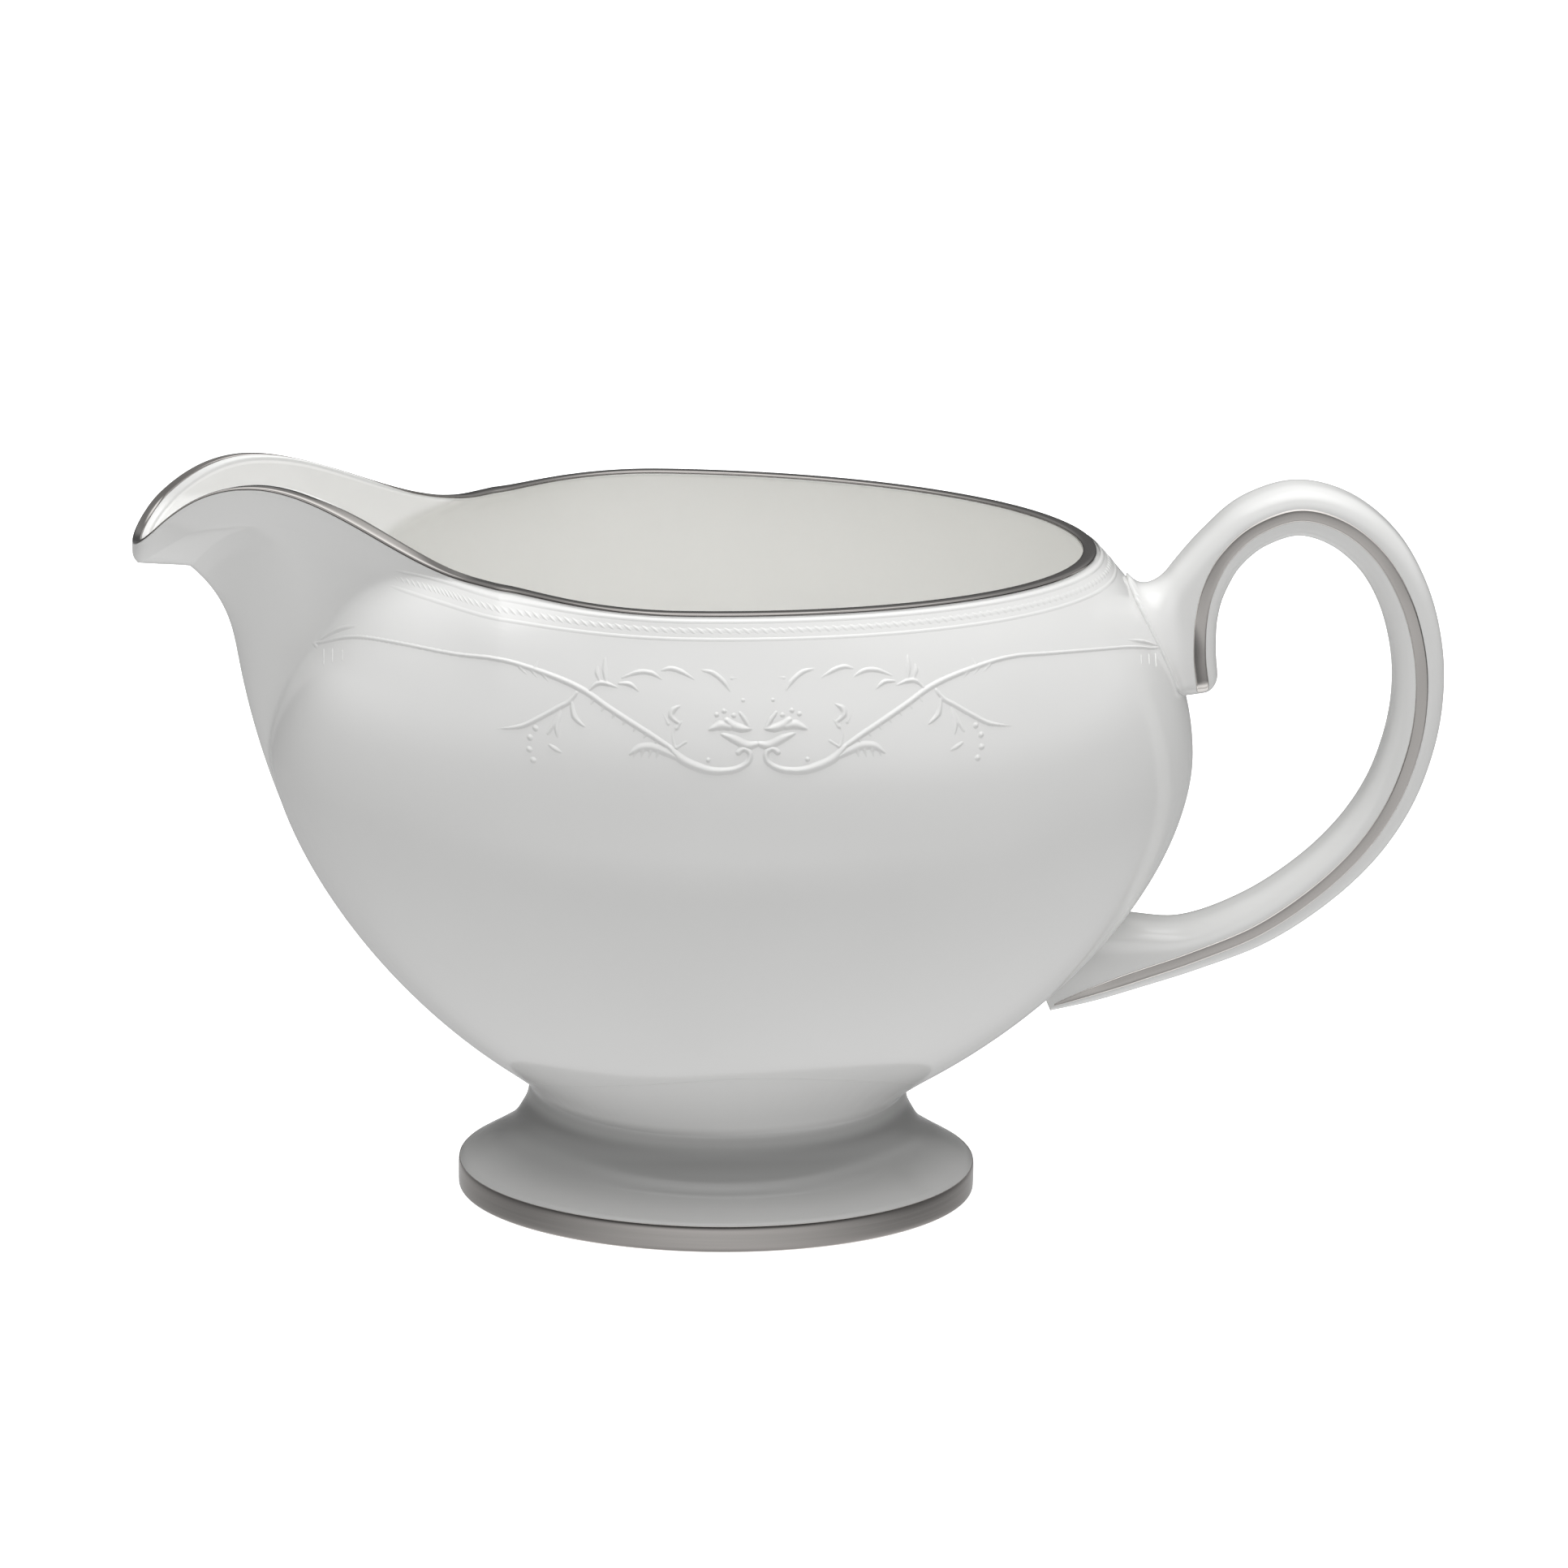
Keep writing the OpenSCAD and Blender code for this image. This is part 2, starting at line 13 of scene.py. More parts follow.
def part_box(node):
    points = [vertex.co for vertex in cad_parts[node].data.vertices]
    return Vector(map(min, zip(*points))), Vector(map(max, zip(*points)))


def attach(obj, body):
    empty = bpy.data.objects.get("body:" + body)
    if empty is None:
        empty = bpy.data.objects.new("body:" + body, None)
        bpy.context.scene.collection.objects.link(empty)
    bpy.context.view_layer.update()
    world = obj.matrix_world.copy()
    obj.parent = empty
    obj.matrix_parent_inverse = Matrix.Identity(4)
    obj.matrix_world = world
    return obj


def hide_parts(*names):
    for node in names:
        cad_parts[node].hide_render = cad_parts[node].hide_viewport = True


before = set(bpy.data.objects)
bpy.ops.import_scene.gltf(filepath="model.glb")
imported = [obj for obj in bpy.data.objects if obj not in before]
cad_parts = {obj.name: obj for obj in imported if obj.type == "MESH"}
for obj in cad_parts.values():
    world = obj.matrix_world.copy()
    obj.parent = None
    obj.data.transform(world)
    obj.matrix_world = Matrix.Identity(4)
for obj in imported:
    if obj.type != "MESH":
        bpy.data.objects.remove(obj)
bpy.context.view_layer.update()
MM = 0.001


# ---------------------------------------------------------------- form of the bowl
# z is a level, x runs from the spout (negative) to the handle, and inset moves a surface inwards.
RIM_HEIGHT = 103.8
WIDEST = 70.0           # level of the fullest section
SEAM = 17.4             # level where bowl and foot are joined
FLOOR = 19.8            # inside bottom
WALL = 2.4

STERN_REACH = 71.4      # from the axis to the handle's side, at the widest level
BOW_REACH = 70.5        # from the axis to the spout's side
STERN_DEPTH, STERN_CURVE, STERN_RISE = WIDEST - 4.7, 1.7, 80.0
BOW_DEPTH, BOW_CURVE, BOW_RISE = WIDEST - 10.8, 1.55, 38.5
BEAM_RISE = 57.5
BODY_RATIO = 0.765      # width over length at the widest level
BASE_RATIO = 0.82       # width over length near the foot
BASE_LEVEL = 16.0
BODY_AXIS, RIM_AXIS, BASE_AXIS = 1.0, -8.0, -5.8

SPOUT_REACH = 90.3
SPOUT_HALF = 11.0       # half the spout's width at the rim
SPOUT_BOTTOM = 55.0     # level where the spout starts to stand out of the belly
SPOUT_RISE = 9.8        # how far the rim climbs over the spout
SPOUT_BLEND = 5.0       # exponent that joins spout and body: higher is a sharper corner
WIDENING_START = -72.0  # x from which the spout widens towards the body
WIDENING_REACH = 33.0   # length over which it keeps widening faster
WIDENING_SOFTNESS = 1.5
WIDENING = 0.015
NOSE_AT_RIM, NOSE_BELOW = 4.0, 13.0  # length of the spout's rounded nose, at the rim and lower down
NOSE_CHANGE = 6.0       # depth below the rim over which the nose lengthens
SPOUT_FADE_END, SPOUT_FADE = -5.0, 30.0  # x where the spout is lost in the body, and its fade before that
TIP_DROP = 1.0
SHEER_PEAK, SHEER_END = 18.0, 51.0  # distances behind the tip
SHEER_CURVE = 2.2
SHEER_START = 88.0      # level from which the wall climbs with the rim
RIM_TILT = 0.011
KEEL_START, KEEL_REACH = 60.0, 67.1
KEEL_SLOPE, KEEL_BEND = 0.4, 0.0045
KEEL_SWEEP_START, KEEL_SWEEP_LENGTH, KEEL_SWEEP = 84.0, 7.0, 0.53
LIP_START = RIM_HEIGHT - 4.35
LIP_TURN = 0.6
LIP_DEPTH = 82.0
LIP_BLEND = 26.0
TIP_ROUND = 2.2
ALMOST_ZERO = 1e-9


def clamp01(t):
    return np.clip(t, 0.0, 1.0)


def ease(t):
    """Runs smoothly from 0 to 1 as t does."""
    c = clamp01(t)
    return c * c * (3 - 2 * c)


def dome(t, n):
    """1 at t = 0, falling to 0 at t = 1 along a superellipse."""
    return (1 - clamp01(t) ** n) ** (1 / n)


def below_share(z):
    """0 at the widest level and above, 1 at the base."""
    return clamp01((WIDEST - z) / (WIDEST - BASE_LEVEL))


def axis_x(z):
    above = clamp01((z - WIDEST) / (RIM_HEIGHT - WIDEST))
    return BODY_AXIS + (BASE_AXIS - BODY_AXIS) * below_share(z) ** 2 + (RIM_AXIS - BODY_AXIS) * above**2


def reach(z, full, depth, curve, rise, inset):
    """Distance from the axis to the wall at one end of the body."""
    below = dome((WIDEST - z) / (depth - inset), curve)
    above = dome((z - WIDEST) / rise, 2)
    return (full - inset) * np.where(z < WIDEST, below, above)


def stern(z, inset=0.0):
    return reach(z, STERN_REACH, STERN_DEPTH, STERN_CURVE, STERN_RISE, inset)


def bow(z, inset=0.0):
    return reach(z, BOW_REACH, BOW_DEPTH, BOW_CURVE, BOW_RISE, inset)


def beam(z, inset=0.0):
    """Half the body's width."""
    ratio = BODY_RATIO + (BASE_RATIO - BODY_RATIO) * below_share(z)
    below = ratio * (stern(z, inset) + bow(z, inset)) / 2
    full = BODY_RATIO * (STERN_REACH + BOW_REACH) / 2 - inset
    return np.where(z < WIDEST, below, full * dome((z - WIDEST) / BEAM_RISE, 2))


def keel_line(z):
    """Reach of the line under the spout, before it turns out into the lip."""
    up = z - KEEL_START
    sweep = np.maximum(0, z - KEEL_SWEEP_START) / KEEL_SWEEP_LENGTH
    return KEEL_REACH + KEEL_SLOPE * up - KEEL_BEND * up * up + KEEL_SWEEP * sweep**3


def keel_base(z, inset=0.0):
    """Distance of the front of belly and spout from the foot's axis, without the lip."""
    belly = bow(z, inset) - axis_x(z)
    return np.where(z < KEEL_START, belly, np.maximum(belly, np.minimum(SPOUT_REACH, keel_line(z)) - inset))


def lip_out(z, inset=0.0):
    """How far the lip reaches out beyond the keel, rounded at its lower corner.

    An inset surface turns a little higher and more slowly, which keeps the lip's thickness even.
    """
    turn = ease((z - LIP_START - 0.42 * inset) / (LIP_TURN + 0.8 * inset))
    corner = TIP_ROUND * (1 - np.sqrt(1 - (1 - clamp01((z - LIP_START) / TIP_ROUND)) ** 2))
    full = np.minimum((SPOUT_REACH - LIP_DEPTH) * turn, np.maximum(0, SPOUT_REACH - keel_line(z)))
    return np.maximum(0, full - corner * turn)


def keel(z, inset=0.0):
    """Distance of the spout's front line from the foot's axis."""
    return keel_base(z, inset) + lip_out(z, inset)


def near_tip(behind):
    """1 at the tip, falling to 0 where the lip no longer reaches out."""
    return (1 - clamp01(behind / LIP_BLEND)) ** 2


def soft_cap(t, cap, softness):
    """Rises with t and levels off smoothly at cap."""
    return -softness * np.log(np.exp(-t / softness) + math.exp(-cap / softness))


def spout_half(x, z, inset):
    """Half the spout's width: rounded at its nose and widening towards the body."""
    behind = x + keel(z, inset)
    nose_length = NOSE_AT_RIM + (NOSE_BELOW - NOSE_AT_RIM) * clamp01((RIM_HEIGHT - z) / NOSE_CHANGE)
    nose = np.sqrt(np.maximum(0, 1 - (1 - clamp01(behind / nose_length)) ** 2))
    past_start = soft_cap(np.maximum(0, x - WIDENING_START), WIDENING_REACH, WIDENING_SOFTNESS)
    height_share = clamp01((z - SPOUT_BOTTOM) / (RIM_HEIGHT - SPOUT_BOTTOM))
    half = np.maximum(0, SPOUT_HALF * np.sqrt(height_share) - inset)
    widening = WIDENING * past_start**2 * ease((z - 80) / 20)
    return (half + widening) * nose * clamp01((SPOUT_FADE_END - x) / SPOUT_FADE)


def half_width(x, z, inset=0.0):
    """Half the width of body and spout together."""
    ax = axis_x(z)
    share = (x - ax) / np.where(x > ax, stern(z, inset), bow(z, inset))
    body = beam(z, inset) * np.sqrt(np.maximum(0, 1 - share**2))
    spout = np.maximum(0, spout_half(x, z, inset))
    return (body**SPOUT_BLEND + spout**SPOUT_BLEND) ** (1 / SPOUT_BLEND)


def sheer(behind):
    """How far the rim climbs, by the distance behind the spout's tip."""
    front = -TIP_DROP + (SPOUT_RISE + TIP_DROP) * (1 - np.abs(1 - behind / SHEER_PEAK) ** SHEER_CURVE)
    back = SPOUT_RISE * ease((SHEER_END - behind) / (SHEER_END - SHEER_PEAK))
    return np.where(behind < SHEER_PEAK, front, back)


def climbing(z):
    """Share of the rim's climb that the wall takes at level z."""
    return ease((z - SHEER_START) / (RIM_HEIGHT - SHEER_START))


def lift(x, z, climb_from):
    """How far a point of the wall is raised: the rim's climb and its slight tilt."""
    return climbing(z) * (sheer(climb_from) - RIM_TILT * (x - RIM_AXIS))


def wall(theta, z, inset=0.0):
    """Point of the wall at angle theta round the boat (0 at the spout, front face first) and level z."""
    theta, z, inset = np.broadcast_arrays(theta, np.asarray(z, float), inset)
    fore = -keel_base(z, inset)
    aft = axis_x(z) + stern(z, inset)
    x = (fore + aft) / 2 - (aft - fore) / 2 * np.cos(theta)
    tip = near_tip(x - fore)
    climb_from = x - fore + np.maximum(0, SPOUT_REACH - keel_line(z)) * (1 - tip)
    x = x - lip_out(z, inset) * tip
    side = np.where(np.sin(theta) >= 0, -1.0, 1.0) * (np.abs(np.sin(theta)) > ALMOST_ZERO)
    return np.stack([x, side * half_width(x, z, inset), z + lift(x, z, climb_from)], -1)


def unit(vectors):
    """The vectors scaled to a length of 1."""
    return vectors / np.maximum(ALMOST_ZERO, np.linalg.norm(vectors, axis=-1, keepdims=True))


def wall_normal(theta, z):
    """Direction out of the wall, from two short steps along it."""
    turn, rise = 2e-3, 0.03
    along = wall(theta + turn, z) - wall(theta - turn, z)
    up = wall(theta, z + rise) - wall(theta, z - rise)
    return unit(np.cross(along, up))


def theta_at(x, z, face):
    """The angle at which the wall at level z stands at distance x along the boat; face is -1 in front."""
    fore = -keel(z)
    aft = axis_x(z) + stern(z)
    angle = np.arccos(np.clip(((fore + aft) / 2 - x) / ((aft - fore) / 2), -1, 1))
    return angle if face < 0 else 2 * math.pi - angle


# ---------------------------------------------------------------- meshes
def add_mesh(name, points, faces):
    """A smooth-shaded object from points in millimetres."""
    mesh = bpy.data.meshes.new(name)
    vertices = np.asarray(points).reshape(-1, 3) * MM
    mesh.from_pydata(vertices.tolist(), [], [list(map(int, face)) for face in faces])
    mesh.update()
    mesh.polygons.foreach_set("use_smooth", [True] * len(mesh.polygons))
    obj = bpy.data.objects.new(name, mesh)
    bpy.context.scene.collection.objects.link(obj)
    return obj


def grid_faces(rows, cols, wrap_rows=False, wrap_cols=True, flip=False):
    """Quads over a grid of rows of points."""
    r = np.arange(rows if wrap_rows else rows - 1)[:, None]
    c = np.arange(cols if wrap_cols else cols - 1)[None, :]
    a = r * cols + c
    b = r * cols + (c + 1) % cols
    d = (r + 1) % rows * cols + c
    e = (r + 1) % rows * cols + (c + 1) % cols
    quads = np.stack([a, b, e, d], -1).reshape(-1, 4)
    return quads[:, ::-1] if flip else quads


def catmull(points, per_span):
    """A smooth curve through points: the stations and the values along it."""
    p = np.asarray(points, float)
    last = len(p) - 1
    s = np.linspace(0, last, last * per_span + 1)
    return s, curve_at(p, s)


def curve_at(p, s):
    """Values of the curve through p at stations s, which count the points."""
    last = len(p) - 1
    i = np.clip(np.floor(s).astype(int), 0, last - 1)
    t = (s - i)[:, None] if p.ndim > 1 else s - i
    a, b, c, d = p[np.maximum(0, i - 1)], p[i], p[i + 1], p[np.minimum(last, i + 2)]
    return (
        b
        + (c - a) * t / 2
        + (2 * a - 5 * b + 4 * c - d) * t * t / 2
        + (3 * b - a - 3 * c + d) * t**3 / 2
    )


def run_length(run):
    """Distance travelled along a run of points, at each of them."""
    return np.concatenate([[0], np.cumsum(np.linalg.norm(np.diff(run, axis=0), axis=1))])


def spaced(*stops):
    """Joined runs of evenly spaced values: start, (end, count), (end, count) ..."""
    values = [float(stops[0])]
    for end, count in stops[1:]:
        values += list(np.linspace(values[-1], end, count + 1)[1:])
    return np.array(values)


# ---------------------------------------------------------------- bowl and rim line
ROUND = 480
FILM = 0.05             # how far the platinum stands proud of the glaze
LIP_RADIUS = WALL / 2
LIP_RISE = 0.75
LIP_SQUARE = 4.6        # exponent of the lip's section: higher is a flatter top
LIP_BASE = RIM_HEIGHT - LIP_RISE
BASIN_CURVE = 2.6       # how flat the floor is in its middle
angles = np.arange(ROUND) * 2 * math.pi / ROUND


def level_ring(z, inset=0.0):
    return wall(angles, np.full(ROUND, z), inset)


def lip_ring(angle, proud=0.0):
    """A ring on the rounded lip: angle 0 is the outside, pi the inside."""
    across = np.sign(np.cos(angle)) * np.abs(np.cos(angle)) ** (2 / LIP_SQUARE)
    high = np.abs(np.sin(angle)) ** (2 / LIP_SQUARE)
    half = LIP_RADIUS - FILM + proud
    ring = level_ring(RIM_HEIGHT, LIP_RADIUS - half * across)
    ring[:, 2] += (LIP_RISE - FILM + proud) * high - LIP_RISE
    return ring


def basin_rows(basin, level):
    """Rings that close the inside from its lowest wall ring to the middle of the floor."""
    middle = basin.mean(0)
    closing = []
    for share in np.linspace(0.97, 0.02, 34):
        ring = middle + (basin - middle) * share
        ring[:, 2] = FLOOR + (level - FLOOR) * share**BASIN_CURVE
        closing.append(ring)
    return closing


def add_bowl():
    """The bowl, and the number of the first face of its inside."""
    top = LIP_BASE - 0.2
    outer_levels = spaced(SEAM, (28, 22), (84, 70), (97, 36), (99.3, 14), (100.3, 30), (top, 16))
    inner_levels = spaced(top, (100, 24), (97, 10), (84, 26), (26, 60))
    rows = [level_ring(z) for z in outer_levels]
    rows += [lip_ring(a) for a in np.linspace(0, math.pi, 25)]
    first_inside = (len(rows) - 1) * ROUND
    rows += [level_ring(z, WALL) for z in inner_levels]
    rows += basin_rows(rows[-1], inner_levels[-1])
    faces = grid_faces(len(rows), ROUND).tolist()
    faces.append([(len(rows) - 1) * ROUND + i for i in range(ROUND)])
    faces.append(list(range(ROUND - 1, -1, -1)))
    return add_mesh("bowl_body", np.array(rows), faces), first_inside


def add_rim_line():
    """Platinum over the lip: to the inside edge round the body, and on the outer half at the spout."""
    rim_x = level_ring(RIM_HEIGHT)[:, 0]
    on_spout = ease((-48 - rim_x) / 16)
    first, last_on_body, last_on_spout = 6, 174, 92
    last = last_on_body - (last_on_body - last_on_spout) * on_spout
    across = [np.radians(first + (last - first) * share) for share in np.linspace(0, 1, 31)]
    rows = [lip_ring(a, FILM) for a in across] + [lip_ring(a, -FILM) for a in across[::-1]]
    return add_mesh("rim_line", np.array(rows), grid_faces(len(rows), ROUND, wrap_rows=True))


bowl, bowl_inside = add_bowl()
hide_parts("bowl")
rim_band = add_rim_line()
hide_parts("rim_band")


# ---------------------------------------------------------------- foot and its line
_, foot_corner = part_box("foot_band")
FOOT_REACH = foot_corner.x / MM
FOOT_RATIO = foot_corner.y / foot_corner.x
NECK = 29.2
NECK_RATIO = 0.92
NECK_TOP = 16.4
BAND_TOP = 4.2
ROUNDING_START, ROUNDING_HEIGHT = 5.0, 9.0  # levels over which the oval grows rounder
COLLAR_REACH, COLLAR_WIDER = NECK + 1.4, 6.1  # reach on the belly, at the ends and more at the sides
FOOT_SIDES = 360
BELLY_STEP = 0.2        # step of the levels at which the belly is measured above the foot
foot_angles = np.arange(FOOT_SIDES) * 2 * math.pi / FOOT_SIDES


def oval_reach(radius, z):
    """Distance from the foot's axis, at every angle, of an oval that grows rounder towards the neck."""
    ratio = FOOT_RATIO + (NECK_RATIO - FOOT_RATIO) * ease((z - ROUNDING_START) / ROUNDING_HEIGHT)
    return radius / np.sqrt(np.cos(foot_angles) ** 2 + (np.sin(foot_angles) / ratio) ** 2)


def at_angles(distance, z):
    level = np.broadcast_to(z, FOOT_SIDES)
    return np.stack([distance * np.cos(foot_angles), distance * np.sin(foot_angles), level], -1)


def oval(radius, z):
    return at_angles(oval_reach(radius, z), z)


def smooth_profile(profile):
    """A smooth run of (radius, height) points that never dips below the table."""
    points = catmull(profile, 6)[1]
    points[:, 1] = np.maximum(points[:, 1], 0)
    return points


def belly_reach(z):
    """Distance from the foot's axis to the belly's wall at every foot angle."""
    ring = level_ring(z)
    turn = np.arctan2(ring[:, 1], ring[:, 0]) % (2 * math.pi)
    order = np.argsort(turn)
    return np.interp(foot_angles, turn[order], np.hypot(ring[:, 0], ring[:, 1])[order], period=2 * math.pi)


def collar_rows():
    """Rows that carry the neck smoothly on to the belly, with a last one hidden inside the wall."""
    levels = np.arange(SEAM, 34, BELLY_STEP)
    belly = np.array([belly_reach(z) for z in levels])
    collar_reach = COLLAR_REACH + COLLAR_WIDER * np.abs(np.sin(foot_angles)) ** 0.6
    row = np.argmax(belly > collar_reach, axis=0)
    column = np.arange(FOOT_SIDES)
    end_z, end_r = levels[row], belly[row, column]
    slope = (belly[row + 1, column] - end_r) / BELLY_STEP
    neck_r = oval_reach(NECK, NECK_TOP)
    bend_z = np.maximum(NECK_TOP + 0.4, end_z - (end_r - neck_r) / slope)
    just_proud, hidden = 0.015, 0.9
    rows = []
    for t in [*np.linspace(0, 1, 22)[1:-1], 0.985, 0.996, 1]:
        distance = (1 - t * t) * neck_r + t * t * (end_r + just_proud)
        height = (1 - t) ** 2 * NECK_TOP + 2 * t * (1 - t) * bend_z + t * t * end_z
        rows.append(at_angles(distance, height))
    return rows + [at_angles(end_r - hidden, end_z)]


FLARE = [
    (FOOT_REACH - 0.3, BAND_TOP), (FOOT_REACH - 0.9, BAND_TOP + 0.5), (NECK + 9.2, 5.2), (NECK + 7.2, 6.4),
    (NECK + 4.8, 7.9), (NECK + 2.9, 9.6), (NECK + 1.5, 11.7), (NECK + 0.5, 13.8), (NECK, NECK_TOP),
]
HOLLOW = [
    (NECK - 4.6, SEAM), (NECK - 4.4, 13.5), (NECK - 2.0, 10), (NECK + 1.6, 6.2),
    (FOOT_REACH - 6.4, 1.6), (FOOT_REACH - 5.4, 0.1), (FOOT_REACH - 5.0, 0.0),
]
EDGE = [
    (FOOT_REACH - 0.7, 0.0), (FOOT_REACH - 0.3, 0.01), (FOOT_REACH - 0.13, 0.14),
    (FOOT_REACH - 0.09, 0.4), (FOOT_REACH - 0.07, 1.0), (FOOT_REACH - 0.06, 2.4),
    (FOOT_REACH - 0.07, 3.6), (FOOT_REACH - 0.15, BAND_TOP),
]


def add_foot():
    rows = [oval(r, z) for r, z in smooth_profile(EDGE)[:-1]]
    rows += [oval(r, z) for r, z in smooth_profile(FLARE)]
    rows += collar_rows()
    rows += [oval(r, z) for r, z in smooth_profile(HOLLOW)]
    return add_mesh("foot_body", np.array(rows), grid_faces(len(rows), FOOT_SIDES, wrap_rows=True))


def add_foot_line():
    """Platinum on the foot's upright edge, clear of the table."""
    covered = smooth_profile(EDGE)[3:]
    rows = [oval(r + FILM, z) for r, z in covered] + [oval(r - FILM, z) for r, z in covered[::-1]]
    return add_mesh("foot_line", np.array(rows), grid_faces(len(rows), FOOT_SIDES, wrap_rows=True))


foot = add_foot()
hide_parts("foot")
foot_band = add_foot_line()
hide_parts("foot_band")


# ---------------------------------------------------------------- handle
# The middle line (x, level) and, at each of its points, the half sizes of the section.
HANDLE_LINE = [
    (73.6, 79.9), (73.2, 82.6), (72.6, 87), (72.6, 92.5), (73.6, 97.6), (76.2, 102.8), (80.8, 107),
    (87.4, 109.2), (94.2, 107.3), (100.1, 102.3), (104.1, 95.4), (106.4, 87.6), (107, 80), (106.1, 72.2),
    (103.3, 63.8), (98.5, 56.1), (91.7, 49.2), (83, 43.1), (73.2, 38.9), (64.6, 36), (57, 33.4), (50.8, 30.8),
]
HANDLE_INNER = [2.3, 2.7, 2.9, 3, 3.3, 3.6, 3.9, 4.1, 4.1, 4, 3.9, 3.9, 3.9, 4, 4, 4, 4, 4.1, 4.5, 8.2, 12, 8]
HANDLE_OUTER = [
    7, 7.6, 8, 8, 5.6, 3.9, 3.8, 3.8, 4, 4.1, 4.1, 4, 3.9, 3.8, 3.8, 3.8, 3.7, 3.5, 3.2, 3, 2.6, 1.4,
]
HANDLE_WIDTH = [
    5, 5.3, 5.7, 5.8, 5.8, 5.7, 5.6, 5.5, 5.5, 5.4, 5.4,
    5.3, 5.3, 5.3, 5.3, 5.4, 5.5, 5.8, 6.2, 6.8, 7.2, 6.4,
]
PER_SPAN = 14
AROUND = 144            # points round a section of the mesh
FINE_AROUND = 900       # points round a section before they are spaced evenly
SECTION_SQUARE = 2.9    # exponent of the section: 2 would be an ellipse
END_ROUND = 3.0         # length over which the upper end of the handle is rounded off
UPPER_FILLET, LOWER_FILLET = 5.6, 4.2
BETWEEN_JOINTS = 70.0   # a level between the two joints with the body
HANDLE_END = 79.0       # level of the upper end, where its fillet fades out
MOST_INSIDE = 0.9       # how deep the handle may reach into the wall
STRIPE_HALF = 0.95
STRIPE_POINTS = 9       # points across one face of a stripe
stations, line = catmull(HANDLE_LINE, PER_SPAN)
count = len(stations)
end_share = clamp01((run_length(line) + 0.02) / END_ROUND)
rounding = np.sqrt(1 - (1 - end_share) ** 2)
inner_half, outer_half, width_half = (
    curve_at(np.array(sizes, float), stations) * rounding
    for sizes in (HANDLE_INNER, HANDLE_OUTER, HANDLE_WIDTH)
)
tangent = unit(np.gradient(line, axis=0))
across = np.stack([tangent[:, 1], -tangent[:, 0]], -1)


def body_field(p):
    """Above 0 outside the body's wall, and 0 on it."""
    z = p[..., 2]
    q = ((p[..., 0] - axis_x(z)) / stern(z)) ** 2 + (p[..., 1] / beam(z)) ** 2
    return np.sqrt(q) - 1


def body_distance(p):
    """Signed distance to the body's wall near the handle, and the way out."""
    step = 0.01
    steps = step * np.eye(3)
    slope = np.stack([(body_field(p + e) - body_field(p - e)) / (2 * step) for e in steps], -1)
    size = np.maximum(ALMOST_ZERO, np.linalg.norm(slope, axis=-1))
    return body_field(p) / size, slope / size[..., None]


def settle_on_body(p, centre):
    """Rounds the corner between handle and body, and keeps the handle out of the bowl's inside."""
    distance, out = body_distance(p)
    sideways = p - centre
    sideways -= out * np.sum(sideways * out, -1, keepdims=True)
    level = p[..., 2]
    size = LOWER_FILLET + (UPPER_FILLET - LOWER_FILLET) * ease((level - BETWEEN_JOINTS + 10) / 20)
    near = np.clip(distance, 0, size)
    spread = size - np.sqrt(np.maximum(0, 2 * size * near - near**2))
    lower_joint = level < BETWEEN_JOINTS
    spread = spread * ease((level - HANDLE_END) / 4 + lower_joint)
    p = p + unit(sideways) * spread[..., None]
    distance, out = body_distance(p)
    return p - out * np.minimum(0, distance + MOST_INSIDE)[..., None]


def squared(value):
    """A cosine or a sine, pushed out to the handle's fuller section."""
    return np.sign(value) * np.abs(value) ** (2 / SECTION_SQUARE)


def evenly_round(section):
    """The closed section with AROUND points spaced evenly along it."""
    closed = np.vstack([section, section[:1]])
    length = run_length(closed)
    wanted = np.arange(AROUND) * length[-1] / AROUND
    return np.stack([np.interp(wanted, length, closed[:, k]) for k in range(3)], -1)


def add_handle():
    around = np.arange(FINE_AROUND) * 2 * math.pi / FINE_AROUND
    inward = squared(np.cos(around))
    offset = inward * np.where(inward > 0, inner_half[:, None], outer_half[:, None])
    skin = np.stack(
        [
            line[:, :1] + across[:, :1] * offset,
            squared(np.sin(around)) * width_half[:, None],
            line[:, 1:] + across[:, 1:] * offset,
        ],
        -1,
    )
    centres = np.stack([line[:, 0], np.zeros(count), line[:, 1]], -1)[:, None] * np.ones((1, FINE_AROUND, 1))
    skin = np.array([evenly_round(section) for section in settle_on_body(skin, centres)])
    faces = grid_faces(count, AROUND).tolist()
    faces.append(list(range(AROUND - 1, -1, -1)))
    faces.append([(count - 1) * AROUND + i for i in range(AROUND)])
    return add_mesh("handle_loop", skin, faces)


def stripe_point(i, offset, side, proud):
    """A point of a stripe at station i, offset from the middle line, and how far it stands off the glaze."""
    half = inner_half[i] if offset > 0 else outer_half[i]
    level = (1 - min(1, abs(offset) / half) ** SECTION_SQUARE) ** (1 / SECTION_SQUARE)
    x = line[i, 0] + across[i, 0] * offset
    z = line[i, 1] + across[i, 1] * offset
    return x, side * level * width_half[i], z, side * proud


